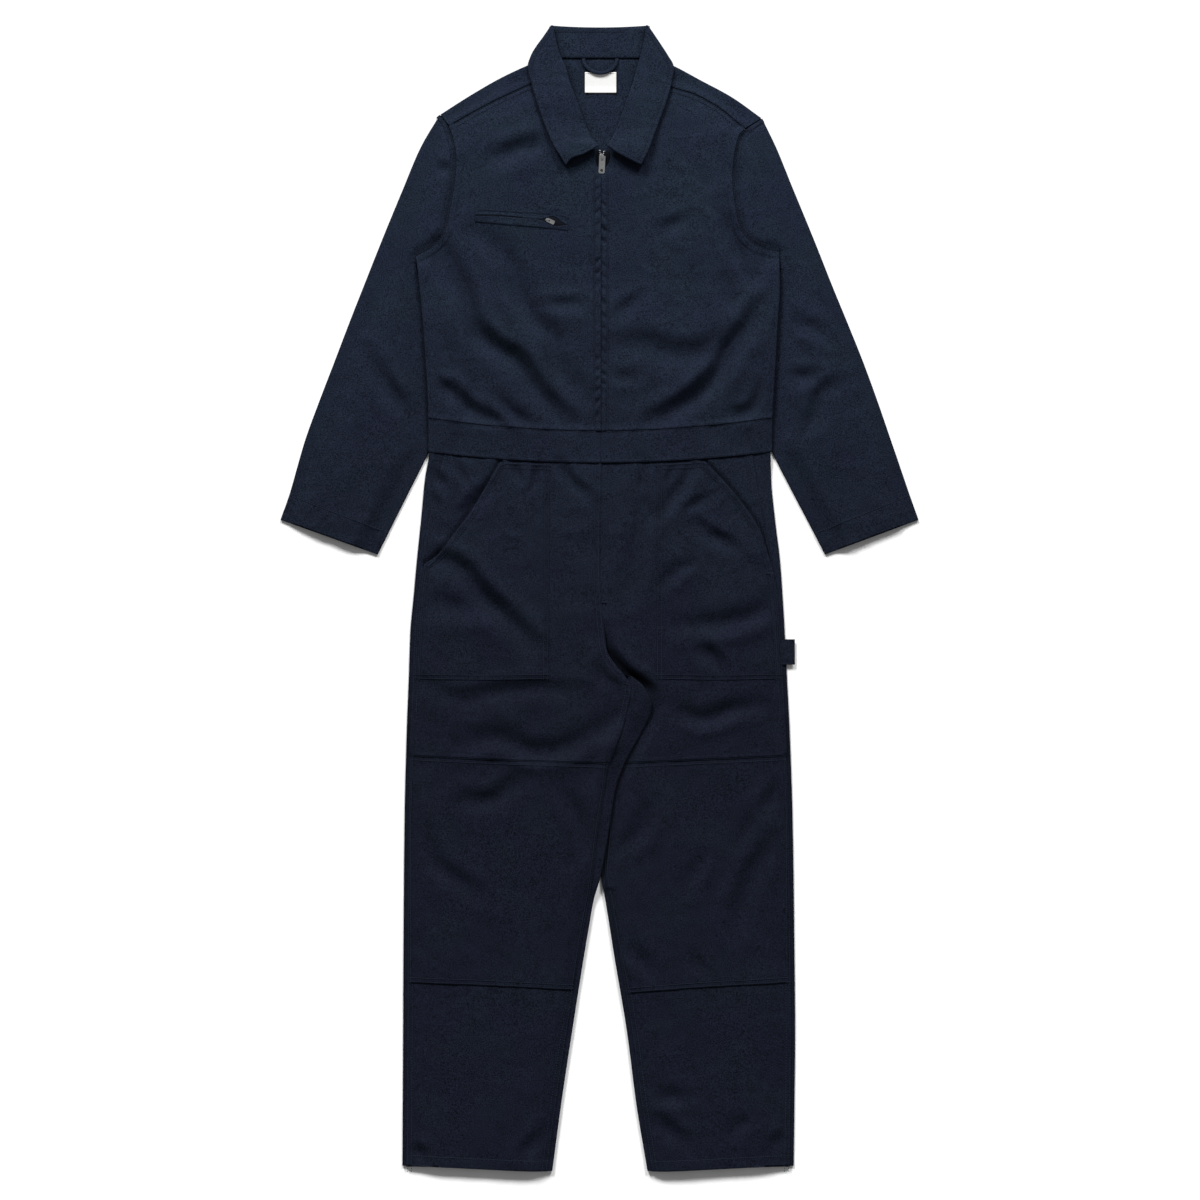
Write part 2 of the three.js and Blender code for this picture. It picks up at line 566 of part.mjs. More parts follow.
// Front bodice halves, from the forward shoulder seam to the waist, parted above the zip's slider
const frontPart = [
  { y: 622, left: 7.3, right: 14.3 },
  { y: 599, left: 7, right: 11 },
  { y: 586, left: SEAM, right: SEAM },
];
const forwardRows = (side) => shoulder[side].map((row) => ({ y: row.seamY, x: row.seamX }));
function outerFront(side, sign) {
  const seam = column(forwardRows(side), 'x');
  const corner = shoulder[side][4].seamY;
  return (y) => (y >= corner ? seam(y) - sign * 0.5 : sideX(side)(y));
}
function innerFront(side, sign) {
  const neck = column(neckline, side);
  const parted = column(frontPart, side);
  return (y) => (y > 622 ? neck(y) + sign * SEAM : FRONT + sign * parted(y));
}
const frontRows = (side) => [
  ...levels(724, 262, 28, armhole[side], forwardRows(side), neckline, frontPart, [{ y: LAST_SHOWN }]),
  240,
];
const torsoOver = overOf(baseTorso, reliefTorso);
const torsoUnder = underOf(baseTorso, reliefTorso);
const frontPlan = {
  left: {
    rows: frontRows('left'),
    left: outerFront('left', -1),
    right: innerFront('left', -1),
    across: acrossFront,
    last: (x) => waistTop(x) + SEAM,
  },
  right: {
    rows: frontRows('right'),
    left: innerFront('right', 1),
    right: outerFront('right', 1),
    across: mirrored(acrossFront),
    last: (x) => waistTop(x) + SEAM,
  },
};
cloth('front_bodice_left', sheet(frontPlan.left, torsoUnder, torsoOver));
cloth('front_bodice_right', sheet(frontPlan.right, torsoUnder, torsoOver));

// Sleeves: flattened tubes, tucked under the trunk below the armpit and cut at the armhole
const SLEEVE_PARTS = 8;
function sleeve(side, sign) {
  const hole = shifted(armhole[side], sign * HALF_GAP);
  const sideOf = trunkX[side];
  const tuckX = side === 'left' ? tuckLeft : tuckRight;
  const reliefAt = (x, y, outerDistance) => {
    const limit = y > 201 ? sideOf(y) : tuckX(y);
    const shown = ramp(sign * (x - limit) - 4, 40);
    const swell = CROWN * ramp(outerDistance, SWELL);
    const own = (swell + ramp(outerDistance - 5, 20) * foldDepth(x, y)) * shown;
    const near = y > 465 ? ramp(60 - sign * (x - holeX[side](y)), 60) : 0;
    return Math.min(Math.max(mix(own, reliefTorso(x, y), near), 0), RELIEF);
  };
  const rings = sleeves[side].map((row) => {
    const outer = new THREE.Vector2(row.outerX, row.outerY);
    const inner = new THREE.Vector2(row.innerX, row.innerY);
    const width = outer.distanceTo(inner);
    const place = (distance, z) => {
      const p = outer.clone().lerp(inner, distance / width);
      return new THREE.Vector3(p.x, p.y, z);
    };
    const spots = even(SLEEVE_PARTS).map((share) => share * width);
    const reliefs = spots.map((distance) => {
      const p = place(distance, 0);
      return reliefAt(p.x, p.y, distance);
    });
    const middle = LAYER / 2 + CLOTH / 2;
    const face = (inset, up) =>
      spots.map((distance, i) => {
        const limited = Math.min(Math.max(distance, inset), width - inset);
        return place(limited, up(reliefs[i]));
      });
    const outside = [
      place(0, middle),
      ...face(1, (relief) => LAYER + CLOTH + relief + BAND * row.hem),
      place(width, middle),
      ...face(1, () => 0).toReversed(),
    ];
    const inside = [
      place(1.3, middle),
      ...face(1.8, (relief) => LAYER + Math.min(relief, AIR)),
      place(width - 1.3, middle),
      ...face(1.8, () => CLOTH).toReversed(),
    ];
    return { outside, inside };
  });
  const tube = wall(
    rings.map((ring) => ring.outside),
    rings.map((ring) => ring.inside),
    true,
  );
  const gap = sign * SEAM;
  const body = [
    ...hole.map((p) => [p.x, p.y]),
    [sideOf(460) + gap, 460],
    [sideOf(LAST_SHOWN) + gap, LAST_SHOWN],
    [sideOf(LAST_SHOWN) - sign * 110, LAST_SHOWN],
    [hole[0].x - sign * 110, 720],
    [hole[0].x, 720],
  ];
  return tube.subtract(prism(body, -5, 40));
}
cloth('sleeve_left', sleeve('left', -1));
cloth('sleeve_right', sleeve('right', 1));

// Collar: leaves on top, stands inside them, the fall behind the neck and the folds between
const LIP = 1.6; // width of the cloth's turn at the collar's folds
const INSIDE = 0.25; // how far the parts of the collar reach into each other
const collarX = (key) => column(collarRows, key);
const topEdge = (x) => COLLAR_TOP - COLLAR_DIP * (1 - (x / COLLAR_HALF) ** 2);
function collarSide(side, sign) {
  const edge = collarX(side === 'left' ? 'edgeL' : 'edgeR');
  const roll = collarX(side === 'left' ? 'rollL' : 'rollR');
  const neck = column(neckline, side);
  const between = (outer, inner) =>
    sign < 0 ? { left: outer, right: inner } : { left: inner, right: outer };
  const beside = (line, by) => (y) => line(y) + sign * by;
  const towardRoll = (x, y) => Math.min(Math.max((x - edge(y)) / (roll(y) - edge(y)), 0), 1);
  const under = (x, y) =>
    torsoOver(x, y) + 0.7 + 0.8 * towardRoll(x, y) + POINT_LIFT * ramp(650 - y, 45);
  const over = (x, y) => under(x, y) + COLLAR_CLOTH;
  const inLeaf = (x, y) => over(x, y) - INSIDE;
  const strip = (rows, outer, inner, low, high) =>
    sheet({ rows, ...between(outer, inner), across: even(1) }, low, high);
  const leaf = sheet(
    { rows: collarRows.map((row) => row.y), ...between(edge, roll), across: even(5) },
    under,
    over,
  );
  const standTop = (x, y) => torsoUnder(x, y) + CLOTH;
  const standRows = [724, 710, 682, 655, 640, 626];
  const stand = strip(standRows, beside(neck, -SEAM), beside(roll, 0.7), torsoUnder, standTop);
  const rollRows = [788.5, 776, 748, 746, 735, 710, 682, 655, 640, 626.3];
  const rollLow = (x, y) => (y > 747 ? LAYER : torsoUnder(x, y)) + INSIDE;
  const rolled = strip(rollRows, beside(roll, LIP), beside(roll, INSIDE), rollLow, inLeaf);
  const foldRows = [788.5, 776, 747, FALL_FOOT + INSIDE];
  const folded = strip(foldRows, beside(edge, -INSIDE), beside(edge, -LIP), () => INSIDE, inLeaf);
  return [leaf, stand, rolled, folded];
}
const neckPlan = (foot, left, right, by) => ({
  rows: [789, 776, 762, 747, foot],
  left: (y) => collarX(left)(y) - by,
  right: (y) => collarX(right)(y) + by,
  across: even(6),
  first: topEdge,
});
const standBack = sheet(
  neckPlan(NECK_SEAM, 'rollL', 'rollR', 0.7),
  () => LAYER,
  () => LAYER + CLOTH,
);
const fall = sheet(
  neckPlan(FALL_FOOT, 'edgeL', 'edgeR', 0),
  () => 0,
  () => CLOTH,
);
const topFold = sheet(
  {
    rows: [789, 786],
    left: () => 2 - COLLAR_HALF,
    right: () => COLLAR_HALF - 2,
    across: even(6),
    first: (x) => topEdge(x) - INSIDE,
    last: (x) => topEdge(x) - LIP,
  },
  () => INSIDE,
  () => LAYER + CLOTH - INSIDE,
);
const collarSides = [...collarSide('left', -1), ...collarSide('right', 1)];
cloth('collar', join([fall, topFold, standBack, ...collarSides]));

// Bare label and hanger loop inside the back of the neck
const backTop = backOver(baseTorso);
const LABEL = { left: -20, right: 23, top: 725, foot: 697, thick: 0.6 };
cloth(
  'neck_label',
  sheet(
    {
      rows: [LABEL.top, 700, LABEL.foot],
      left: () => LABEL.left,
      right: () => LABEL.right,
      across: even(2),
    },
    (x, y) => backTop(x, y) + SEAM,
    (x, y) => backTop(x, y) + SEAM + LABEL.thick,
  ),
  0xf4f4f2,
);
const LOOP = { x: 1, y: 743, halfWidth: 24, drop: 20, strip: 4.5, thick: 1, parts: 14 };
function hangerLoop() {
  const arc = (grow, up) =>
    even(LOOP.parts).map((share) => {
      const angle = Math.PI * (1 + share);
      const x = LOOP.x + (LOOP.halfWidth + grow) * Math.cos(angle);
      const y = LOOP.y + (LOOP.drop + grow) * Math.sin(angle);
      return new THREE.Vector3(x, y, backTop(x, y) + 2 * SEAM + LABEL.thick + up);
    });
  const [wide, narrow] = [LOOP.strip / 2, -LOOP.strip / 2];
  return wall([arc(wide, LOOP.thick), arc(narrow, LOOP.thick)], [arc(wide, 0), arc(narrow, 0)]);
}
cloth('hanger_loop', hangerLoop());

// Waistband, thicker than the cloth above and below it
const waistPlan = (left, right, across) => ({
  rows: [240, 225, 210, 195],
  left,
  right,
  across,
  first: waistTop,
  last: waistFoot,
});
const bandOver = overOf(baseTorso, reliefTorso, BAND);
const bandParts = {
  left: waistPlan(trunkX.left, () => FRONT - SEAM, acrossFront),
  right: waistPlan(() => FRONT + SEAM, trunkX.right, mirrored(acrossFront)),
};
cloth('waistband_back', sheet(waistPlan(trunkX.left, trunkX.right, acrossWaist), baseTorso, backTop));
cloth('waistband_front_left', sheet(bandParts.left, torsoUnder, bandOver));
cloth('waistband_front_right', sheet(bandParts.right, torsoUnder, bandOver));

// Trouser fronts, from side seam to rise and inseam
const seamOf = (key) => column([...rise, ...legs.map((row) => ({ y: row.y, x: row[key] }))], 'x');
const legSeam = { left: seamOf('seamL'), right: seamOf('seamR') };
const hemY = (x) => -LENGTH / 2 + 7 * ramp(Math.abs(x) - 66, 200);
const HEM_TOP = -LENGTH / 2 + LEG_HEM;
const hemBand = (y) => BAND * ramp(HEM_TOP - y, 1.5);
const hemRows = [HEM_TOP, HEM_TOP - 1.5, -LENGTH / 2];
const trouserTop = (x) => waistFoot(x) - 1.5 * SEAM;
const trouserRows = [190, ...levels(163, -740, 62, sideSeam, rise, legs), ...hemRows];
const trouserEnds = { rows: trouserRows, first: trouserTop, last: hemY };
const sideSeamX = { left: column(sideSeam, 'left'), right: column(sideSeam, 'right') };
const trouserPlan = {
  left: {
    ...trouserEnds,
    left: (y) => sideSeamX.left(y) + SEAM / 2,
    right: (y) => legSeam.left(y) - SEAM,
    across: acrossLeg,
  },
  right: {
    ...trouserEnds,
    left: (y) => legSeam.right(y) + SEAM,
    right: (y) => sideSeamX.right(y) - SEAM / 2,
    across: mirrored(acrossLeg),
  },
};
const base = { left: baseLeft, right: baseRight };
const relief = { left: reliefLeft, right: reliefRight };
const legUnder = { left: underOf(baseLeft, reliefLeft), right: underOf(baseRight, reliefRight) };
const legOver = {
  left: (x, y) => overOf(baseLeft, reliefLeft)(x, y) + hemBand(y),
  right: (x, y) => overOf(baseRight, reliefRight)(x, y) + hemBand(y),
};
cloth('trouser_front_left', sheet(trouserPlan.left, legUnder.left, legOver.left));
cloth('trouser_front_right', sheet(trouserPlan.right, legUnder.right, legOver.right));

// Trouser backs: lower sheets, folded forward at the side and, below the crotch, at the inseam
const FOLD_INSET = 4;
const END_INSET = 0.5; // a folded strip ends a little short of its sheet
function trouserBack(side, sign) {
  const edgeOf = side === 'left' ? edgeL : edgeR;
  const seamX = column(legs, side === 'left' ? 'seamL' : 'seamR');
  const outer = (y) => trunkX[side](y) - sign * FOLD_INSET;
  const inner = (y) => (y >= CROTCH ? seatX(y) + sign * SEAM : edgeOf(y) + sign * FOLD_INSET);
  const seatRows = levels(163, CROTCH, 60, seatSeam);
  const legRows = levels(CROTCH - 2, -740, 60, legs);
  const rows = [190, ...seatRows, ...legRows, hemRows[2]];
  const edges = sign < 0 ? { left: outer, right: inner } : { left: inner, right: outer };
  const across = sign < 0 ? acrossLegBack : mirrored(acrossLegBack);
  const main = sheet(
    { rows, ...edges, across, first: trouserTop, last: hemY },
    base[side],
    backOver(base[side]),
  );
  const fold = (levelsOf, edgeX, seamAt) =>
    foldedEdge(
      levelsOf.map((y) => {
        const foot = y < -LENGTH / 2 + 1;
        const edge = new THREE.Vector2(edgeX(y), foot ? hemY(edgeX(y)) + END_INSET : y);
        const seam = new THREE.Vector2(seamAt(y), foot ? hemY(seamAt(y)) + END_INSET : y);
        if (y > 200) {
          edge.y = trouserTop(edge.x) - END_INSET;
          seam.y = trouserTop(seam.x) - END_INSET;
          seam.x = seamAt(seam.y);
        }
        const top = base[side](seam.x, seam.y) + LAYER + relief[side](seam.x, seam.y);
        return { edge, seam, base: base[side], top };
      }),
    );
  const gap = (sign * SEAM) / 2;
  const sideFold = fold(sideSeam.map((row) => row.y), trunkX[side], (y) => sideSeamX[side](y) + gap);
  const innerFold = fold(legs.map((row) => row.y), edgeOf, seamX);
  return join([main, sideFold, innerFold]);
}
cloth('trouser_back_left', trouserBack('left', -1));
cloth('trouser_back_right', trouserBack('right', 1));

// Hip pockets with slanted openings, and knee patches, lying on the trouser fronts
const patches = {
  hip_pocket_left: {
    side: 'left',
    top: 210,
    foot: -160,
    outline: [
      [-137, 186], [-68, 183], [-70, -112], [-255.5, -112], [-253, -62], [-248, 0],
      [-242, 46], [-226, 57], [-198, 91], [-176, 121], [-152, 161],
    ],
  },
  hip_pocket_right: {
    side: 'right',
    top: 210,
    foot: -160,
    outline: [
      [145, 188], [176, 155], [205, 119], [220, 95], [232, 62], [241, 30],
      [244, -3], [247, -46], [250.5, -112], [78, -112], [78, 183],
    ],
  },
  knee_patch_left: {
    side: 'left',
    top: -180,
    foot: -600,
    outline: [
      [-259, -216], [-121, -222], [9, -226], [5, -264], [-2, -308], [-11.5, -384],
      [-29, -486], [-37, -540], [-262, -530], [-261, -400],
    ],
  },
  knee_patch_right: {
    side: 'right',
    top: -180,
    foot: -600,
    outline: [
      [28, -226], [120, -222], [256, -216], [259.5, -400], [260, -530], [40, -544],
      [28, -486], [16, -417], [10, -384], [13, -330], [18, -264],
    ],
  },
};
const gridOf = (plan, height, top, foot) =>
  grid({ ...plan, height }).filter((row) => row[0].y <= top && row[0].y >= foot);
for (const [name, { side, top, foot, outline }] of Object.entries(patches)) {
  cloth(name, patch(gridOf(trouserPlan[side], legOver[side], top, foot), outline));
}

// Folded loop held in the right side seam
const TAB = { from: 252.5, to: 269, top: -57, foot: -92, low: 3.1, ply: 0.9 };
const tabShape = (from) => [[from, TAB.foot], [TAB.to, TAB.foot], [TAB.to, TAB.top], [from, TAB.top]];
const tabHigh = TAB.low + 2 * TAB.ply + SEAM;
cloth(
  'side_loop',
  join([
    prism(tabShape(TAB.from), TAB.low, TAB.low + TAB.ply),
    prism(tabShape(TAB.from), tabHigh - TAB.ply, tabHigh),
    prism(tabShape(TAB.to - TAB.ply), TAB.low, tabHigh),
  ]),
);

// Front zip: chain on its tape behind the centre front
const ZIP_THICK = 1.2;
function zipOver(x, y) {
  if (y > 195) return torsoUnder(x, y) - 0.5;
  return Math.min(legUnder.left(x, y), legUnder.right(x, y)) - 0.5;
}
cloth(
  'front_zip',
  sheet(
    {
      rows: levels(ZIP_TOP, ZIP_FOOT, 26, frontPart, sideSeam),
      left: () => FRONT - ZIP_WIDTH / 2,
      right: () => FRONT + ZIP_WIDTH / 2,
      across: even(2),
    },
    (x, y) => zipOver(x, y) - ZIP_THICK,
    zipOver,
  ),
  0x14171f,
);

// Chest pocket: two welts round a zip whose right end gapes round the slider
const welts = {
  chest_welt_upper: [
    [-171, 537], [-119, 534], [-71, 530.5], [-44, 527], [-44, 514.6], [-49, 516], [-55, 521],
    [-61.4, 525.4], [-80, 522.4], [-119, 526], [-145, 528], [-171, 528.2],
  ],
  chest_welt_lower: [
    [-171, 526.2], [-145, 526], [-119, 524], [-80, 520], [-61.4, 512.4], [-50, 513], [-44, 514.2],
    [-44, 506], [-76, 509.5], [-119, 513], [-171, 518],
  ],
};
const chestGap = [
  [-168, 527.8], [-145, 527.6], [-119, 525.6], [-80, 522], [-61.4, 525], [-55, 520.5], [-49, 515.6],
  [-49.5, 513.6], [-61.4, 513], [-80, 520.4], [-119, 524.4], [-145, 526.4], [-168, 526.6],
];
const chestPoints = gridOf(frontPlan.left, torsoOver, 580, 440);
for (const [name, outline] of Object.entries(welts)) cloth(name, patch(chestPoints, outline, SEAM, 0.9));
cloth('chest_zip', patch(chestPoints, chestGap, SEAM, 0.5), 0x14171f);

// Zip sliders and pulls: the pull's top bar turns in the slider's bow
const BOW = { half: 3.2, hole: 1.9, width: 2, high: 2.6, roof: 1.5, foot: 1.9 };
const PULL = { bar: 1.1, thick: 1.4, slotHalf: 1.4, slotFoot: -6 };
const round = (half, top, foot, cut) => [
  [-half + cut, foot], [half - cut, foot], [half, foot + cut], [half, top - cut],
  [half - cut, top], [-half + cut, top], [-half, top - cut], [-half, foot + cut],
];
function slider(halfWidth, halfLength, thick) {
  const body = prism(round(halfWidth, halfLength, -halfLength, 1.2), -BOW.foot - thick, -BOW.foot);
  const outside = [
    [-BOW.half, -BOW.foot - 0.3],
    [BOW.half, -BOW.foot - 0.3],
    [BOW.half, 1.4],
    [1.9, BOW.high],
    [-1.9, BOW.high],
    [-BOW.half, 1.4],
  ];
  const inside = [
    [-BOW.hole, -BOW.foot + 0.1],
    [BOW.hole, -BOW.foot + 0.1],
    [BOW.hole, 1],
    [1.3, BOW.roof],
    [-1.3, BOW.roof],
    [-BOW.hole, 1],
  ];
  const arch = prism(outside, -BOW.width / 2, BOW.width / 2, [inside]);
  return body.add(arch.rotate([90, 0, 90]));
}
function pull(headHalf, footHalf, length, hole) {
  const outline = [
    [-headHalf, PULL.bar], [-footHalf, 1.5 - length], [1.5 - footHalf, -length], [footHalf - 1.5, -length],
    [footHalf, 1.5 - length], [headHalf, PULL.bar],
  ];
  const slot = round(PULL.slotHalf, -PULL.bar, PULL.slotFoot, 0.6);
  const ring = even(12).slice(0, -1).map((share) => {
    const angle = 2 * Math.PI * share;
    return [hole * Math.cos(angle), 4 - length + hole * Math.sin(angle)];
  });
  return prism(outline, -PULL.thick / 2, PULL.thick / 2, hole ? [slot, ring] : [slot]);
}
const frontSlider = { x: 4, y: 608, z: 7, turn: -3 };
const frontAt = (solid) =>
  solid.rotate([0, 0, frontSlider.turn]).translate([frontSlider.x, frontSlider.y, frontSlider.z]);
metal('front_zip_slider', frontAt(slider(4.4, 5, 1.2)));
metal('front_zip_pull', frontAt(pull(4.2, 4.2, 23, 2)));
const chestSlider = { x: -71.5, y: 520.8, turn: 65, scale: 0.6 };
const chestRest = torsoOver(chestSlider.x, chestSlider.y) + SEAM + 0.9 + 0.5;
const chestAt = (solid) =>
  solid
    .scale([chestSlider.scale, chestSlider.scale, chestSlider.scale])
    .rotate([0, 0, chestSlider.turn])
    .translate([chestSlider.x, chestSlider.y, chestRest + 3.1 * chestSlider.scale]);
metal('chest_zip_slider', chestAt(slider(3.6, 4.6, 1.2)));
metal('chest_zip_pull', chestAt(pull(4.6, 4.6, 17, 0)));

export default suit;
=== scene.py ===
"""Boiler suit laid flat: cloth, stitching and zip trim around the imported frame, in millimetres."""
import math
import bpy
import numpy as np
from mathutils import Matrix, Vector


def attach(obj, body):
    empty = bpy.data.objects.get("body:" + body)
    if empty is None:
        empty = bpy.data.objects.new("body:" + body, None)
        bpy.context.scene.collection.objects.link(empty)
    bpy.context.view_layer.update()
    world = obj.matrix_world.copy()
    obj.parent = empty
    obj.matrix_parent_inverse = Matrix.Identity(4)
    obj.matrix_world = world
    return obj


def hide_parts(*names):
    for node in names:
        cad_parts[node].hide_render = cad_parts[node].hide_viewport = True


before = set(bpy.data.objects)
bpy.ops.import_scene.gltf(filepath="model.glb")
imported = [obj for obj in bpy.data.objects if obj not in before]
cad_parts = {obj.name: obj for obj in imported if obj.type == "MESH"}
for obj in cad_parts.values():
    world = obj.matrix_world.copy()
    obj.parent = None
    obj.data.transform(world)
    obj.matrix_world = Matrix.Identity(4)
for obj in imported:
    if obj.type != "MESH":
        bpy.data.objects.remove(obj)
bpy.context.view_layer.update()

# Driving dimensions, the same as in the part's source
MM = 0.001
CLOTH = 1.2
SEAM = 0.3
LAYER = CLOTH + SEAM
CROWN = 5.6  # how far the front swells between its edges
SWELL = 60
FOLD_DEPTH = 2.4  # strength of all the creases in the table
FOLD_WIDTH = 1.1
ROUND = 3.2  # how much a folded edge bulges
BAND = 0.8
PLACKET = 9  # from the centre front to each row of its stitching
PLACKET_TOP, PLACKET_FOOT = 588, 233  # where those rows begin and end
PUCKER_PITCH = 16.5
CHEST_PULL = (-73.5, 522)  # the cloth lies lower under it
FLAT_KNEE = (190, -250)  # where the right knee is almost smooth
HEM = -790
FRONT = 2
CROTCH = -120
HEM_TOP = -775  # where the trousers' hem is stitched
CUFF_HEM = 34  # and the sleeves', from the cuff
UNDERSIDE = 0.45  # from a lower layer's level to the cloth's outer face underneath
BEND = 1.35  # radius of the cloth's turn at a folded edge
FINE = 3.0  # spacing of points on the front pieces
FINER = 2.1  # and on the bodice
COARSE = 7.0  # and on the back ones
SIDES = (("left", -1), ("right", 1))


def table(names, rows):
    """A short table as one array per named column."""
    return dict(zip(names.split(), np.array(rows, float).T))


TRUNK = table("y left right", [
    (477, -254, 247), (471, -253, 247.5), (425, -247, 248), (380, -243, 245), (340, -240, 243),
    (273, -236, 239), (203, -235, 236), (163, -241, 237), (110, -246, 242), (52, -252, 249),
    (-3, -257, 253), (-46, -261, 255.5), (-106, -263, 258.5), (-185, -266, 262.5),
    (-308, -269, 266.5), (-486, -270.5, 269), (-600, -271, 270), (-700, -271.5, 269),
    (-790, -272, 268)])
SIDE_SEAM = table("y left right", [
    (203, -212, 210), (163, -223, 216), (110, -235, 225), (52, -245, 238), (-3, -251.5, 246),
    (-46, -255, 249.5), (-106, -257.5, 253), (-185, -261, 257), (-308, -263.5, 261),
    (-486, -265, 263.5), (-600, -265.5, 264.5), (-790, -266.5, 262.5)])
SHOULDER = {
    "left": table("x y seamX seamY", [
        (-60, 750, -60, 726), (-98, 735, -92, 711), (-133, 719, -129, 694),
        (-177, 694, -165, 676), (-219.4, 667, -207.6, 652)]),
    "right": table("x y seamX seamY", [
        (62, 750, 61, 726), (102, 734, 98, 706), (140, 714, 135, 694),
        (184, 690, 162, 679), (223.3, 662, 200.8, 648)]),
}
ARMHOLE = {
    "left": table("x y", [
        (-220, 667), (-208, 651), (-199, 622), (-197, 599), (-199, 574), (-206, 534),
        (-214, 501), (-226, 487), (-253, 471)]),
    "right": table("x y", [
        (224, 662), (207, 651), (193.5, 640), (187.5, 622), (184, 599), (183, 574),
        (188, 534), (197.5, 501), (211.5, 487), (247, 477)]),
}
SLEEVE_OUTER = {
    "left": table("x y", [
        (-440, 108), (-428, 142), (-406, 218), (-386, 273), (-366, 325), (-347, 375),
        (-325, 431), (-300, 494), (-272, 562), (-246, 623), (-220, 667)]),
    "right": table("x y", [
        (440, 108), (428, 142), (402, 218), (383, 273), (364, 325), (344, 375),
        (321, 431), (296, 494), (268, 562), (243, 623), (224, 662)]),
}
SLEEVE_INNER = {
    "left": table("x y", [
        (-306, 60), (-290, 92), (-262, 148), (-235.5, 201), (-215, 248), (-199, 310),
        (-203, 368), (-229, 418), (-251.5, 448), (-253.5, 461), (-253, 471)]),
    "right": table("x y", [
        (311, 60), (295, 91), (264, 150), (237, 203), (216, 250), (201, 312),
        (205, 370), (229, 422), (249.5, 450), (249.5, 466), (247, 477)]),
}
NECKLINE = table("y left right", [
    (726, -60, 61), (694, -48, 55), (667, -38, 45), (640, -23, 33), (622, -5.3, 16.3)])
FRONT_PART = table("y left right", [(599, -5, 13), (586, 1.7, 2.3)])
COLLAR = {
    "left": {
        "edge": [(-66.5, 788.5), (-75, 776), (-94, 747), (-98, 735), (-93, 710), (-85, 682),
                 (-76, 655), (-67, 633), (-62, 622), (-56, 612), (-49, 601), (-46, 596)],
        "front": [(-46, 596), (-43, 601), (-20, 612), (-1.5, 622)],
        "roll": [(-64.5, 788.5), (-62, 776), (-54, 747), (-48.5, 735), (-41, 710), (-31, 682),
                 (-21, 655), (-11, 633), (-1.5, 622)],
    },
    "right": {
        "edge": [(66.5, 788.5), (75, 776), (94, 747), (101, 735), (98.5, 710), (91, 682),
                 (81, 655), (73, 633), (69, 622), (65, 612), (60, 602), (57, 596)],
        "front": [(57, 596), (45, 602), (26, 612), (11, 622)],
        "roll": [(64.5, 788.5), (63, 776), (57, 747), (53.5, 735), (46.5, 710), (37, 682),
                 (27.5, 655), (18, 633), (11, 622)],
    },
}
RISE = table("y x", [(188, 2), (-3, 2), (-46, 6), (-79, 12), (-92, 21), (-106, 33)])
LEGS = table("y seamL edgeL edgeR seamR", [
    (-120, 42, 60, 44, 50), (-149, 39, 72, 50, 62), (-185, 29, 58, 27, 48),
    (-208, 20, 45, 16, 35), (-232, 12, 33, 8, 24), (-264, 7, 22, 2, 14), (-308, 0, 15, -1, 9),
    (-384, -9.5, 1.4, 2, 8), (-417, -14, -8, 8, 14), (-451, -20.5, -14, 13.5, 20),
    (-486, -27, -20, 19, 26), (-600, -45, -38, 38, 45), (-700, -60, -53, 51, 58),
    (-790, -72, -65, 66, 72)])
SEAT = table("y x", [(188, 1), (-46, 1), (-79, 7), (-106, 27), (-120, 44)])

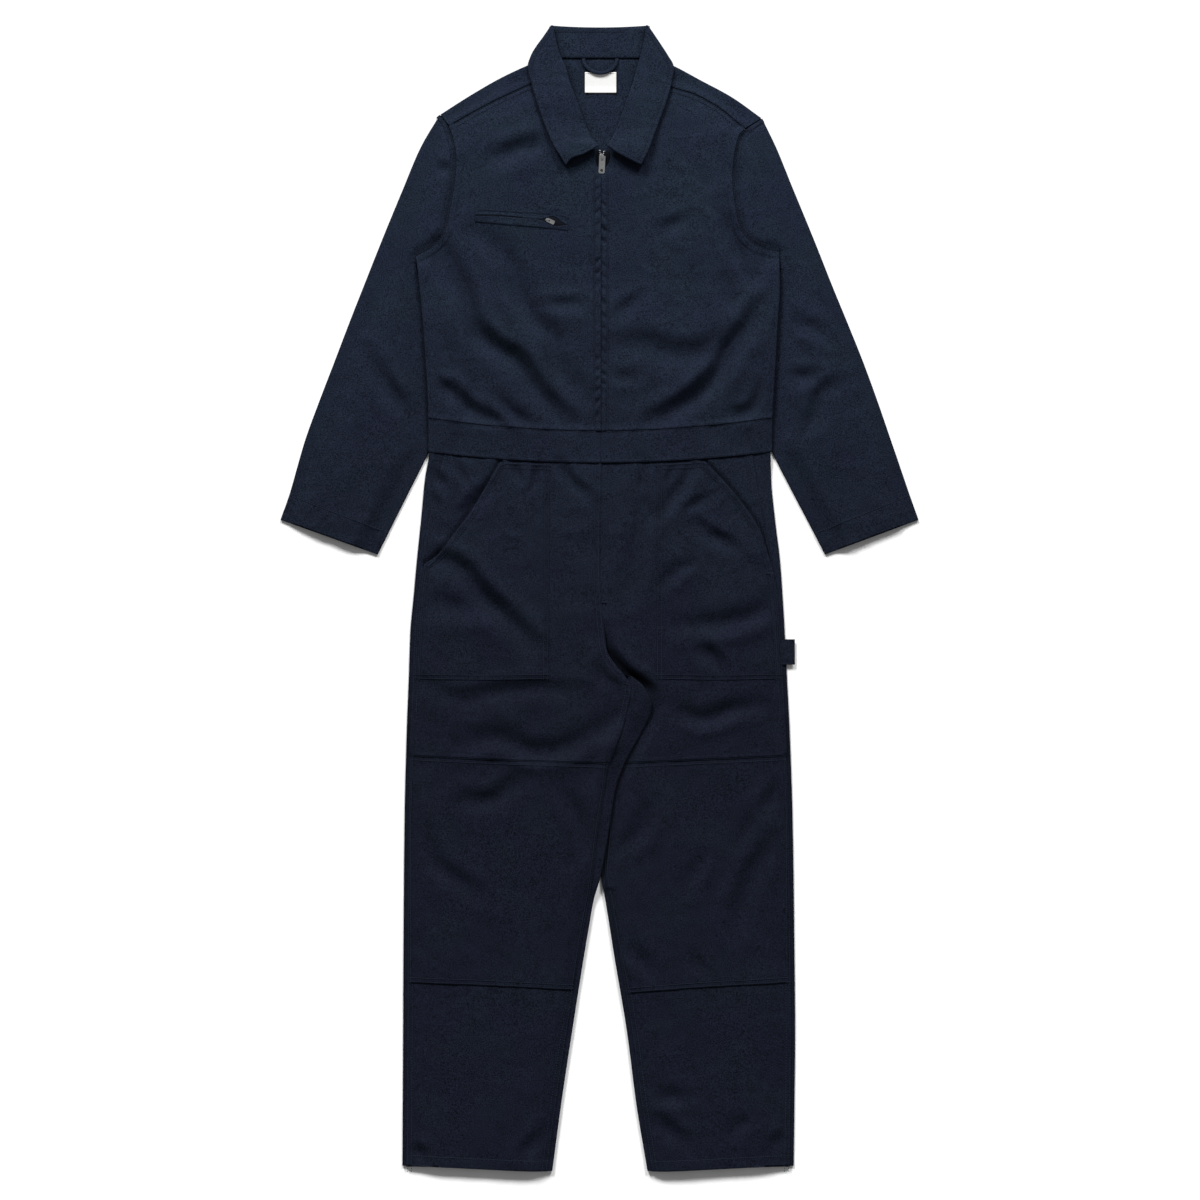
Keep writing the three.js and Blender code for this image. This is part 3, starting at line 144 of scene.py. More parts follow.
# Creases read from the photo: width, depth, the side the sharper ridge is on, and the line
FOLDS = [
    (13, 3.6, 1, [(-222, 484), (-186, 421), (-169, 368), (-154, 352), (-112, 323), (-85, 283), (-43, 242)]),
    (14, 3.0, -1, [(-169, 505), (-129, 469), (-112, 421), (-89, 384), (-64, 356), (-60, 327), (-20, 279)]),
    (10, 2.6, 1, [(-236, 293), (-210, 287), (-177, 258), (-141, 242)]),
    (8, 1.8, -1, [(-141, 279), (-121, 256), (-93, 239)]),
    (9, 1.3, 1, [(-77, 404), (-20, 403)]),
    (12, 2.0, 1, [(-147, 603), (-112, 618), (-77, 627)]),
    (12, 3.8, -1, [(219, 402), (187, 348), (147, 291), (101, 257), (70, 242)]),
    (16, 2.2, 1, [(21, 344), (61, 348), (101, 335), (162, 344), (208, 379)]),
    (9, 1.2, -1, [(21, 304), (53, 304)]),
    (9, 1.3, 1, [(26, 388), (57, 417)]),
    (10, 1.3, 1, [(82, 505), (126, 526)]),
    (11, 2.2, -1, [(166, 542), (183, 490), (204, 436)]),
    (9, 1.7, 1, [(179, 251), (208, 258), (227, 295)]),
    (12, 2.6, 1, [(-322, 339), (-297, 294), (-268, 257), (-260, 229)]),
    (8, 1.6, -1, [(-209, 588), (-227, 596)]),
    (9, 1.6, 1, [(246, 360), (270, 364)]),
    (10, 1.8, -1, [(253, 381), (290, 373), (311, 356)]),
    (10, 1.8, 1, [(246, 302), (299, 306)]),
    (11, 2.2, -1, [(332, 298), (303, 277), (299, 253), (274, 225)]),
    (10, 1.8, 1, [(274, 257), (245, 221)]),
    (13, 3.4, 1, [(-230, 52), (-197, 44), (-168, 11), (-124, -33), (-93, -66)]),
    (16, 2.0, -1, [(-234, -11), (-148, -15)]),
    (11, 1.5, 1, [(-241, -118), (-197, -139), (-141, -130), (-82, -126), (-16, -131)]),
    (13, 2.6, -1, [(-190, -203), (-135, -192), (-93, -211), (-53, -207), (-16, -189), (21, -167)]),
    (8, 1.8, 1, [(-53, 185), (-38, 159), (-17, 141)]),
    (9, 1.6, -1, [(-152, 156), (-190, 110)]),
    (7, 1.4, 1, [(3, -77), (3, -121)]),
    (9, 2.0, 1, [(129, 181), (110, 152), (85, 115)]),
    (7, 1.4, -1, [(150, 141), (121, 119)]),
    (9, 1.8, 1, [(132, 103), (162, 81), (184, 70)]),
    (9, 1.5, -1, [(88, 18), (110, 40), (129, 48)]),
    (11, 2.0, 1, [(55, 126), (50, 70), (43, -3)]),
    (13, 2.4, -1, [(107, -40), (154, -37), (221, -18), (244, 4)]),
    (10, 1.8, 1, [(136, -63), (169, -97)]),
    (11, 2.4, -1, [(103, -155), (147, -167), (180, -155), (221, -148)]),
    (6, 1.8, 1, [(-250, 152), (-236, 141), (-224, 127)]),
    (6, 1.6, -1, [(-252, 104), (-238, 96)]),
    (7, 1.8, 1, [(-232, 176), (-212, 152)]),
    (6, 1.6, -1, [(-196, 186), (-184, 158)]),
    (7, 1.8, 1, [(240, 172), (224, 148)]),
    (6, 1.6, -1, [(246, 124), (230, 114)]),
    (6, 1.6, 1, [(247, 82), (238, 60)]),
    (6, 1.2, 1, [(-118, 186), (-110, 160)]),
    (6, 1.2, -1, [(-84, 184), (-90, 150)]),
    (6, 1.3, 1, [(66, 186), (58, 158), (60, 130)]),
    (6, 1.2, -1, [(104, 186), (96, 160)]),
    (12, 1.8, 1, [(-190, -279), (-148, -279), (-111, -250)]),
    (11, 1.8, -1, [(-53, -261), (-31, -298), (-16, -345)]),
    (12, 1.8, 1, [(-238, -323), (-227, -360), (-170, -408)]),
    (9, 1.6, 1, [(-260, -756), (-241, -770)]),
    (10, 1.6, -1, [(-75, -734), (-104, -767)]),
    (12, 2.0, 1, [(70, -279), (55, -323), (32, -345)]),
    (10, 1.6, -1, [(246, -257), (228, -294)]),
    (9, 1.4, 1, [(206, -298), (199, -338)]),
    (13, 2.0, -1, [(239, -334), (210, -382), (188, -457)]),
    (10, 1.4, 1, [(140, -353), (121, -402)]),
    (11, 1.8, -1, [(39, -475), (72, -519)]),
    (9, 1.2, 1, [(129, -494), (143, -519)]),
    (10, 1.4, -1, [(81, -686), (121, -689)]),
    (11, 1.8, 1, [(77, -719), (118, -752)]),
    (10, 1.4, -1, [(184, -737), (206, -715)]),
    (10, 1.4, 1, [(235, -756), (262, -741)]),
]
# Where the right front dives under the left one at the crotch
PIT_LINE = [(6, -44), (12, -76), (21, -90), (34, -104), (52, -116), (68, -128)]


# Small helpers: soft ramps, smooth lines down a table, curves and resampling
def ramp(distance, width):
    t = np.clip(distance / width, 0, 1)
    return t * t * (3 - 2 * t)


def mix(a, b, t):
    return a + (b - a) * t


def line(rows, key, by="y"):
    """A smooth line down a table that never swings past its values."""
    order = np.argsort(rows[by])
    xs, ys = rows[by][order], rows[key][order]
    step = np.diff(xs)
    slope = np.diff(ys) / step
    tangent = np.concatenate([slope[:1], np.zeros(len(slope) - 1), slope[-1:]])
    turns = slope[:-1] * slope[1:] > 0
    w1, w2 = 2 * step[1:] + step[:-1], step[1:] + 2 * step[:-1]
    safe_a = np.where(turns, slope[:-1], 1)
    safe_b = np.where(turns, slope[1:], 1)
    tangent[1:-1] = np.where(turns, (w1 + w2) / (w1 / safe_a + w2 / safe_b), 0)

    def at(place):
        p = np.clip(place, xs[0], xs[-1])
        i = np.clip(np.searchsorted(xs, p, side="right") - 1, 0, len(step) - 1)
        t = (p - xs[i]) / step[i]
        ends = ys[i] * (1 + 2 * t) * (1 - t) ** 2 + ys[i + 1] * t * t * (3 - 2 * t)
        return ends + step[i] * t * (1 - t) * (tangent[i] * (1 - t) - tangent[i + 1] * t)

    return at


def spline(points, step=4.0):
    """A smooth curve through points, with a point about every step."""
    p = np.asarray(points, float)
    if len(p) < 3:
        return p
    gap = np.linalg.norm(np.diff(p, axis=0), axis=1)[:, None]
    slope = np.diff(p, axis=0) / gap
    tangent = np.empty_like(p)
    tangent[0], tangent[-1] = slope[0], slope[-1]
    tangent[1:-1] = (slope[:-1] * gap[1:] + slope[1:] * gap[:-1]) / (gap[1:] + gap[:-1])
    made = []
    for i, length in enumerate(gap[:, 0]):
        count = max(int(length / step), 1)
        t = np.arange(count)[:, None] / count
        ends = p[i] * (1 + 2 * t) * (1 - t) ** 2 + p[i + 1] * t * t * (3 - 2 * t)
        made.append(ends + length * t * (1 - t) * (tangent[i] * (1 - t) - tangent[i + 1] * t))
    return np.vstack([*made, p[-1:]])


def joined(*runs):
    """Several smooth runs one after the other, with a corner where they meet."""
    curves = [spline(run) for run in runs]
    return np.vstack([curves[0], *[c[1:] for c in curves[1:]]])


def length_of(path):
    return np.linalg.norm(np.diff(path, axis=0), axis=1).sum()


def resample(path, count):
    path = np.asarray(path, float)
    along = np.concatenate([[0], np.cumsum(np.linalg.norm(np.diff(path, axis=0), axis=1))])
    places = np.linspace(0, along[-1], count)
    return np.column_stack([np.interp(places, along, path[:, k]) for k in range(path.shape[1])])


def beside(path, by):
    """A path moved sideways, to its left by a positive distance."""
    path = np.asarray(path, float)
    way = np.gradient(path, axis=0)
    way /= np.linalg.norm(way, axis=1)[:, None] + 1e-9
    return path + by * np.column_stack([-way[:, 1], way[:, 0]])


def points(rows, x="x", y="y"):
    return np.column_stack([rows[x], rows[y]])


def noise(x, y, size, seed):
    """A smooth random field from -1 to 1 whose features are about size wide."""
    cells = np.random.RandomState(seed).uniform(-1, 1, (64, 64))
    turn = 0.6 + 0.37 * seed
    u = (x * math.cos(turn) - y * math.sin(turn)) / size
    v = (x * math.sin(turn) + y * math.cos(turn)) / size
    i, j = np.floor(u).astype(int), np.floor(v).astype(int)
    s, t = u - i, v - j
    s, t = s * s * s * (s * (6 * s - 15) + 10), t * t * t * (t * (6 * t - 15) + 10)
    low = mix(cells[i % 64, j % 64], cells[(i + 1) % 64, j % 64], s)
    high = mix(cells[i % 64, (j + 1) % 64], cells[(i + 1) % 64, (j + 1) % 64], s)
    return mix(low, high, t)


def near(x, y, path, reach):
    """Distance to a path, place along it and side of it, for points within reach."""
    path = np.asarray(path, float)
    far, along, side = np.full(x.shape, 1e3), np.zeros(x.shape), np.ones(x.shape)
    low, high = path.min(0) - reach, path.max(0) + reach
    box = (x > low[0]) & (x < high[0]) & (y > low[1]) & (y < high[1])
    px, py = x[box], y[box]
    best, at, which = np.full(px.shape, 1e3), np.zeros(px.shape), np.ones(px.shape)
    total = 0.0
    for a, b in zip(path[:-1], path[1:]):
        way = b - a
        length = math.hypot(*way)
        if length < 1e-9:
            continue
        t = np.clip(((px - a[0]) * way[0] + (py - a[1]) * way[1]) / length**2, 0, 1)
        ox, oy = px - a[0] - t * way[0], py - a[1] - t * way[1]
        distance = np.hypot(ox, oy)
        closer = distance < best
        best = np.where(closer, distance, best)
        at = np.where(closer, total + t * length, at)
        which = np.where(closer, np.sign(way[0] * oy - way[1] * ox), which)
        total += length
    far[box], along[box], side[box] = best, at, which
    return far, along, side


# How high the lower layer lies, as in the part's source
trunk = {side: line(TRUNK, side) for side, _ in SIDES}
side_seam = {side: line(SIDE_SEAM, side) for side, _ in SIDES}
tuck = {side: line(SLEEVE_INNER[side], "x") for side, _ in SIDES}
leg = {key: line(LEGS, key) for key in ("seamL", "edgeL", "edgeR", "seamR")}
seat_x = line(SEAT, "x")
rise_x = line(RISE, "x")


def sleeve_lift(x, y):
    along = ramp(y - 160, 40) * ramp(469 - y, 20)
    left = ramp(tuck["left"](y) + 34 - x, 24)
    right = ramp(x - tuck["right"](y) + 34, 24)
    return (2 * LAYER + 0.5) * along * np.maximum(left, right)


def collar_lift(x, y):
    return LAYER * ramp(y - 700, 30) * (1 - ramp(np.abs(x) - 107, 28))


def leg_lift(x, y):
    along = ramp(-60 - y, 50) * ramp(y + 486, 102)
    under = np.where(y > CROTCH, seat_x(y), leg["edgeR"](y))
    return (2 * LAYER + 0.6 + 1.5 * ramp(-185 - y, 22)) * along * ramp(x - under + 22, 16)


def base_torso(x, y):
    return sleeve_lift(x, y) + collar_lift(x, y)


def base_left(x, y):
    return sleeve_lift(x, y) + leg_lift(x, y)


def base_right(x, y):
    return sleeve_lift(x, y)


fold_paths = [
    (FOLD_WIDTH * width, FOLD_DEPTH * depth, lean, spline(path, 10)) for width, depth, lean, path in FOLDS]
pit_path = spline(PIT_LINE, 6)


def bell(distance, width):
    """One at no distance, fading smoothly over about the width."""
    return np.exp(-((distance / width) ** 2))


def fold_depth(x, y):
    """Soft troughs with a ridge on each side, sharper on one, fading at both ends."""
    total = np.zeros(x.shape)
    for width, depth, lean, path in fold_paths:
        distance, along, side = near(x, y, path, 3.6 * width)
        share = along / length_of(path)
        fade = np.sin(math.pi * mix(0.06, 0.94, share)) ** 0.7
        across = side * lean * distance / width
        ridge = 0.55 * bell(across - 1.5, 0.8) + 0.22 * bell(across + 1.8, 1.1)
        total += depth * fade * (-bell(across, 1) + ridge)
    return total


def upper_outline(side, sign):
    """Where the suit ends sideways from the cuffs up: the sleeve, the shoulder and the collar's top."""
    rows = {key: np.concatenate([SHOULDER[side][key][1:], SLEEVE_OUTER[side][key][:-1], [top]])
            for key, top in (("x", sign * 66), ("y", 789))}
    return line(rows, "x")


outline = {side: upper_outline(side, sign) for side, sign in SIDES}
crest = {key: np.concatenate([SHOULDER["left"][key], SHOULDER["right"][key]]) for key in ("x", "y")}
shoulder_y = line(crest, "y", by="x")


def edge(side, y):
    return mix(trunk[side](y), outline[side](y), ramp(y - 465, 95))


def crumple(x, y):
    """Broad waves and small wrinkles that run over all of the cloth."""
    broad = 0.9 * noise(x, y * 0.7, 90, 3) + 0.6 * noise(x, y, 42, 5)
    ridged = 0.7 * (1 - 2 * np.abs(noise(x + 14 * noise(x, y, 60, 8), y, 36, 11)))
    finer = 0.34 * (1 - 2 * np.abs(noise(x, y + 8 * noise(x, y, 30, 9), 17, 13)))
    small = 0.2 * noise(x, y, 12, 17) + 0.07 * noise(x, y, 6, 23)
    busy = 0.45 + 0.75 * ramp(95 - np.abs(y - 105), 80) + 0.3 * ramp(noise(x, y, 140, 29), 0.6)
    calm_leg = 1 - 0.45 * ramp(-240 - y, 80)
    calm_knee = 1 - 0.8 * bell(np.hypot(x - FLAT_KNEE[0], y - FLAT_KNEE[1]), 32)
    return (broad + busy * (ridged + finer + small) * calm_knee) * calm_leg


def settled(height, least=1.6):
    """Heights that ease off towards zero where the cloth would pass below the layer under it."""
    eased = least * np.exp(np.minimum(height / least - 1, 0))
    return np.where(height > least, height, eased) - least / math.e


def relief(x, y, inside=1.0):
    """How far the front rises over its flat edges."""
    from_left, from_right = x - edge("left", y), edge("right", y) - x
    below = ramp(0.89 * (shoulder_y(x) - y) - 2, SWELL)
    swell = CROWN * ramp(from_left, SWELL) * ramp(from_right, SWELL) * below * inside
    close = ramp(from_left - 4, 22) * ramp(from_right - 4, 22) * inside
    calm = 1 - 0.6 * ramp(y - 650, 60)
    waves = close * calm * (fold_depth(x, y) + crumple(x, y))
    zip_swell = 2.2 * ramp(34 - np.abs(x - FRONT), 14) * ramp(y + 40, 40) * ramp(640 - y, 20)
    height = swell + waves + ROUND * ramp(np.minimum(from_left, from_right), 9) * ramp(440 - y, 60)
    return settled(np.maximum(height, zip_swell + 0.5 * waves))


def relief_left(x, y):
    inner = ramp(leg["edgeL"](y) - x, 30)
    return relief(x, y, mix(1, inner, ramp(-110 - y, 70)))


def crotch_pit(x, y):
    """The right front dives under the edge of the left one, below a ridge beside it."""
    distance, along, _ = near(x, y, pit_path, 40)
    strength = np.sin(math.pi * np.clip(along / length_of(pit_path), 0.02, 0.98)) ** 0.6
    return strength * (5.0 * bell(distance - 17, 8) - 7.0 * bell(distance, 9))


def relief_right(x, y):
    start = mix(rise_x(y), leg["edgeL"](y) + 2, ramp(-98 - y, 26))
    visible = np.where(y > -400, start, leg["edgeR"](y))
    height = relief(x, y, mix(1, ramp(x - visible, 20), ramp(-60 - y, 50)))
    return settled(height + crotch_pit(x, y), 1.0)


def hem_band(y):
    return 0.5 * ramp(HEM_TOP - y, 1.6)


def placket(x, y):
    """Dimples that zigzag down the centre front between its two rows of stitching."""
    off = x - FRONT
    turns = (y + 0.9 * np.abs(off) + 9 * noise(y, y * 0, 50, 61)) / PUCKER_PITCH
    left = 0.5 + 0.5 * np.sin(2 * math.pi * turns)
    right = 0.5 + 0.5 * np.sin(2 * math.pi * (turns + 0.4))
    dimple = np.where(off < 0, left, right) ** 3 * bell(np.abs(off) - 4.5, 3.4)
    seams = bell(np.abs(off) - PLACKET, 1.6)
    uneven = 0.62 + 0.75 * noise(y, np.sign(off) * 30, 32, 67)
    lap = np.where(off < 0, 0.5, -0.7) * ramp(4 - np.abs(off), 3)
    raised_strip = 0.7 * ramp(PLACKET + 1.5 - np.abs(off), 3)
    return ramp(590 - y, 20) * (raised_strip + lap - 3.0 * uneven * dimple - seams)


def flank_rise(x, y):
    """The side of the body stands up beside the sleeve, most below the armpit."""
    gap = np.minimum(x - edge("left", y), edge("right", y) - x)
    return 2.6 * ramp(y - 235, 40) * ramp(478 - y, 20) * bell(gap, 14)


def top_torso(x, y):
    under_pull = 0.8 * bell(np.hypot(x - CHEST_PULL[0], y - CHEST_PULL[1]), 9)
    return base_torso(x, y) + LAYER + CLOTH + relief(x, y) + flank_rise(x, y) - under_pull


def bodice_top(x, y):
    return top_torso(x, y) + placket(x, y)


def top_left(x, y):
    return base_left(x, y) + LAYER + CLOTH + relief_left(x, y) + hem_band(y)


def top_right(x, y):
    return base_right(x, y) + LAYER + CLOTH + relief_right(x, y) + hem_band(y)


top_leg = {"left": top_left, "right": top_right}


def raised(height, extra=0.0, marks=()):
    """A height with seam allowances raised beside edges, and the waves their stitching draws up.

    A mark is a path, the raised width, its rise and the waves' height, then their period and the
    softness of the raised part's border where these differ from the usual.
    """
    def at(x, y):
        z = height(x, y) + extra
        for path, width, rise, wave, *rest in marks:
            period, soft = rest or (5.5, 1.8)
            distance, along, _ = near(x, y, path, 30)
            puckers = noise(along, 0.25 * distance, period, 31)
            puckers = puckers + 0.6 * noise(along, 0.2 * distance, 2 * period, 37)
            z = z + rise * ramp(width - distance, soft)
            z = z + wave * np.exp(-distance / (1.2 * period)) * puckers
        return z

    return at


# Meshes: grids of points, with a rounded turn along their edges
def grid_faces(rows, columns, ring=False):
    steps = columns if ring else columns - 1
    r, c = np.meshgrid(np.arange(rows - 1), np.arange(steps), indexing="ij")
    following = (c + 1) % columns
    quads = [r * columns + c, (r + 1) * columns + c, (r + 1) * columns + following, r * columns + following]
    return np.stack([q.ravel() for q in quads], 1)


def face_up(vertices, faces):
    """Turns a sheet's faces so that most of them look up."""
    a, b, d = vertices[faces[:, 0]], vertices[faces[:, 1]], vertices[faces[:, 3]]
    area = np.cross(b - a, d - a)[:, 2]
    return faces if area.sum() > 0 else faces[:, ::-1]


def grid_mesh(grid, pick, ring=False):
    """A grid of points as a mesh, turned so that the faces that pick names look up."""
    rows, columns = grid.shape[:2]
    vertices = grid.reshape(-1, 3)
    faces = grid_faces(rows, columns, ring=ring)
    upper = faces[pick(vertices, faces)]
    flip = face_up(vertices, upper) is not upper
    return vertices, (faces[:, ::-1] if flip else faces)


def patch(top, bottom, left, right, step):
    """A grid inside four edges: top and bottom run to the right, left and right run down."""
    across = max(length_of(top), length_of(bottom))
    down = max(length_of(left), length_of(right))
    columns, rows = max(int(across / step), 2) + 1, max(int(down / step), 2) + 1
    t, b = resample(top, columns), resample(bottom, columns)
    l, r = resample(left, rows), resample(right, rows)
    u = np.linspace(0, 1, columns)[None, :, None]
    v = np.linspace(0, 1, rows)[:, None, None]
    ruled = (1 - v) * t[None] + v * b[None] + (1 - u) * l[:, None] + u * r[:, None]
    corners = (1 - u) * (1 - v) * t[0] + u * (1 - v) * t[-1] + (1 - u) * v * b[0] + u * v * b[-1]
    return ruled - corners


def between(top, bottom, step):
    """A grid between two paths whose ends are joined by straight edges."""
    top, bottom = np.asarray(top, float), np.asarray(bottom, float)
    left, right = np.array([top[0], bottom[0]]), np.array([top[-1], bottom[-1]])
    return patch(top, bottom, left, right, step)


def border_of(rows, columns):
    index = np.arange(rows * columns).reshape(rows, columns)
    loop = [index[0, :-1], index[:-1, -1], index[-1, :0:-1], index[:0:-1, 0]]
    sides = np.concatenate([np.full(len(part), k) for k, part in enumerate(loop)])
    return np.concatenate(loop), sides


RIM = [(0.38, 0.12), (0.75, 0.42), (0.95, 0.85), (0.8, 1.0)]  # shares of a turn's reach and drop


def sheet_mesh(plan, height, out=0.45, drop=1.1, lip=3.0, drops=None):
    """A sheet over a plan of points, its edge rounded down and turned in a little underneath."""
    rows, columns = plan.shape[:2]
    x, y = plan[..., 0], plan[..., 1]
    body = np.dstack([x, y, height(x, y)]).reshape(-1, 3)
    loop, sides = border_of(rows, columns)
    rim = body[loop]
    way = np.roll(rim[:, :2], -1, 0) - np.roll(rim[:, :2], 1, 0)
    way /= np.linalg.norm(way, axis=1)[:, None] + 1e-9
    turned = np.sum(rim[:, 0] * np.roll(rim[:, 1], -1) - np.roll(rim[:, 0], -1) * rim[:, 1])
    outward = np.column_stack([way[:, 1], -way[:, 0]]) * np.sign(turned)
    depth = np.array(drops if drops else [drop] * 4, float)[sides]
    loops = [rim]
    for reach, fall in RIM:
        step = np.column_stack([outward * out * reach, -depth * fall])
        loops.append(rim + step)
    loops.append(rim + np.column_stack([-outward * lip, -depth]))
    count = len(loop)
    vertices = np.vstack([body, *loops[1:]])
    faces = [grid_faces(rows, columns)]
    before = loop
    for k in range(len(loops) - 1):
        after = rows * columns + k * count + np.arange(count)
        faces.append(np.stack([before, after, np.roll(after, -1), np.roll(before, -1)], 1))
        before = after
    inner = face_up(vertices, faces[0])
    flipped = not np.array_equal(inner, faces[0])
    strips = [f[:, ::-1] if flipped == (turned > 0) else f for f in faces[1:]]
    return vertices, np.vstack([inner, *strips])


def lip(path, height):
    """The front's folded edge over a knee patch, easing into its own cloth."""
    rise, width = 0.25, 6.0
    stations = np.array([-0.6, 0.4, 0.12 * width, 0.3 * width, 0.6 * width, width])
    run = resample(path, max(int(length_of(path) / 2.5), 4))
    plan = np.stack([beside(run, distance) for distance in stations], 1)
    share = np.clip(stations / width, 0, 1)
    z = height(plan[..., 0], plan[..., 1]) + rise * (1 - share**1.5) - 0.3 * (share == 1)
    return sheet_mesh(plan, lambda x, y: z, out=0.35, drop=rise + KNEE_STEP + 0.1, lip=0.5)


def merged(*parts):
    vertices, faces, start = [], [], 0
    for v, f in parts:
        vertices.append(v)
        faces.append(f + start)
        start += len(v)
    return np.vstack(vertices), np.vstack(faces)


def make(name, mesh, material, nodes=()):
    """A mesh object that rides on the suit and stands for the named nodes."""
    vertices, faces = mesh
    data = bpy.data.meshes.new(name)
    data.vertices.add(len(vertices))
    data.vertices.foreach_set("co", (vertices * MM).astype(np.float32).ravel())
    data.loops.add(faces.size)
    data.loops.foreach_set("vertex_index", faces.astype(np.int32).ravel())
    data.polygons.add(len(faces))
    data.polygons.foreach_set("loop_start", np.arange(0, faces.size, faces.shape[1], dtype=np.int32))
    data.polygons.foreach_set("loop_total", np.full(len(faces), faces.shape[1], np.int32))
    data.polygons.foreach_set("use_smooth", np.full(len(faces), True))
    data.materials.append(material)
    data.update(calc_edges=True)
    data.validate()
    obj = bpy.data.objects.new(name, data)
    bpy.context.scene.collection.objects.link(obj)
    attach(obj, "suit")
    if nodes:
        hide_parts(*nodes)


def cloth(name, mesh, material):
    """A piece of the suit's cloth in place of the node of that name."""
    make(f"{name}_cloth", mesh, material, nodes=[name])


# Materials
def material_nodes(name):
    material = bpy.data.materials.new(name)
    material.use_nodes = True
    return material, material.node_tree, material.node_tree.nodes["Principled BSDF"]


def feed(tree, node, values):
    """Sets a node's inputs, each to a value or to the output that it follows."""
    for key, value in values.items():
        if isinstance(value, bpy.types.NodeSocket):
            tree.links.new(value, node.inputs[key])
        else:
            node.inputs[key].default_value = value
    return node.outputs


def add(tree, kind, values):
    return feed(tree, tree.nodes.new("ShaderNode" + kind), values)


def weighted_sum(tree, first, weight, second):
    """First times the weight, plus second."""
    node = tree.nodes.new("ShaderNodeMath")
    node.operation = "MULTIPLY_ADD"
    return feed(tree, node, {0: first, 1: weight, 2: second})[0]


def colour_mix(tree, share, first, second):
    node = tree.nodes.new("ShaderNodeMix")
    node.data_type = "RGBA"
    return feed(tree, node, {"Factor": share, "A": first, "B": second})["Result"]


def tones(tree, share, deep, pale, low, high):
    """From a deep to a pale colour while the share goes from low to high."""
    node = tree.nodes.new("ShaderNodeValToRGB")
    for element, place, colour in zip(node.color_ramp.elements, (low, high), (deep, pale)):
        element.position = place
        element.color = (*colour, 1)
    return feed(tree, node, {"Fac": share})["Color"]


def cloth_material(name, turn=0.0):
    """Dark cotton twill: diagonal ribs, a mottled tone that deepens down the legs, a faint nap, and painted
    shade that darkens its colour by seams, edges and creases.
    """
    material, tree, shader = material_nodes(name)
    place = add(tree, "TexCoord", {})["Object"]
    along_ribs = add(tree, "Mapping", {"Rotation": (0, 0, TWILL_ANGLE + turn), "Vector": place})["Vector"]
    wave = tree.nodes.new("ShaderNodeTexWave")
    wave.wave_type = "BANDS"
    rib_look = {"Scale": 260, "Distortion": 1.6, "Detail": 2, "Detail Scale": 3, "Vector": along_ribs}
    ribs = feed(tree, wave, rib_look)["Fac"]
    mottle = add(tree, "TexNoise", {"Scale": 55, "Detail": 8, "Roughness": 0.62, "Vector": place})["Fac"]
    slub = add(tree, "TexNoise", {"Scale": 690, "Detail": 2, "Roughness": 0.6, "Vector": place})["Fac"]
    tone = weighted_sum(tree, mottle, 0.16, slub)
    low_tone, high_tone = 0.43, 0.69
    leg_tone = tones(tree, tone, LEG_DEEP, LEG_PALE, low_tone, high_tone)
    body_tone = tones(tree, tone, NAVY_DEEP, NAVY_PALE, low_tone, high_tone)
    up = add(tree, "SeparateXYZ", {0: place})["Y"]
    height_share = add(tree, "MapRange", {"From Min": -0.15, "From Max": 0.70, "Value": up})["Result"]
    colour = colour_mix(tree, height_share, leg_tone, body_tone)
    patches = add(tree, "TexNoise", {"Scale": 14, "Detail": 4, "Vector": place})["Fac"]
    hue_range = {"From Min": 0.35, "From Max": 0.65, "To Min": 0.489, "To Max": 0.508, "Value": patches}
    hue = add(tree, "MapRange", hue_range)["Result"]
    shifted = add(tree, "HueSaturation", {"Hue": hue, "Color": colour})["Color"]
    # Painted shade: ambient occlusion darkens the base colour in creases, seams, gaps and near the floor
    painted_shade_node = tree.nodes.new("ShaderNodeAmbientOcclusion")
    painted_shade_node.samples = 8
    painted_shade_colour = feed(tree, painted_shade_node, {"Distance": PAINTED_SHADE_REACH, "Color": shifted})["Color"]
    heights = weighted_sum(tree, ribs, 0.35, slub)
    fine = add(tree, "Bump", {"Strength": 0.55, "Distance": 0.00045, "Height": heights})["Normal"]
    crumpled = add(tree, "Bump", {"Strength": 0.35, "Distance": 0.002, "Height": mottle, "Normal": fine})
    feed(tree, shader, {
        "Roughness": 0.86, "Specular IOR Level": 0.06, "Sheen Weight": 0.02, "Sheen Roughness": 0.45,
        "Sheen Tint": (0.6, 0.7, 0.95, 1), "Base Color": painted_shade_colour, "Normal": crumpled["Normal"]})
    return material


def plain_material(name, colour, roughness, metallic=0.0, grain=900, depth=0.0001, gloss=0.06):
    """A simple finish with a fine grain in its tone and surface."""
    material, tree, shader = material_nodes(name)
    place = add(tree, "TexCoord", {})["Object"]
    speckle = add(tree, "TexNoise", {"Scale": grain, "Detail": 4, "Vector": place})["Fac"]
    pale = [min(c * 1.25, 1) for c in colour]
    bump = add(tree, "Bump", {"Distance": depth, "Strength": 0.5, "Height": speckle})["Normal"]
    feed(tree, shader, {
        "Roughness": roughness, "Metallic": metallic, "Specular IOR Level": gloss,
        "Base Color": tones(tree, speckle, colour, pale, 0.3, 0.7), "Normal": bump})
    return material


TWILL_ANGLE = math.radians(48)
PAINTED_SHADE_REACH = 0.012  # how far, in metres, the painted shade beside a seam or an edge darkens the cloth's colour
NAVY_DEEP = (0.0030, 0.0050, 0.0105)
NAVY_PALE = (0.0176, 0.0262, 0.0480)
LEG_DEEP = (0.0008, 0.0013, 0.0030)
LEG_PALE = (0.0088, 0.0114, 0.0228)
navy = cloth_material("navy_twill")
navy_cross = cloth_material("navy_twill_cross", math.radians(90))
thread = plain_material("navy_thread", (0.0150, 0.0215, 0.0365), 0.7, grain=2500)
tape = plain_material("zip_tape", (0.004, 0.005, 0.008), 0.85, grain=1800)
label_white = plain_material("white_label", (0.78, 0.78, 0.77), 0.75, grain=1500)
metal = plain_material("zip_metal", (0.60, 0.61, 0.62), 0.28, 1.0, grain=600, depth=0.00004, gloss=0.5)
floor_pale = plain_material("floor_pale", (0.90, 0.90, 0.90), 0.9, grain=30, depth=0.0)


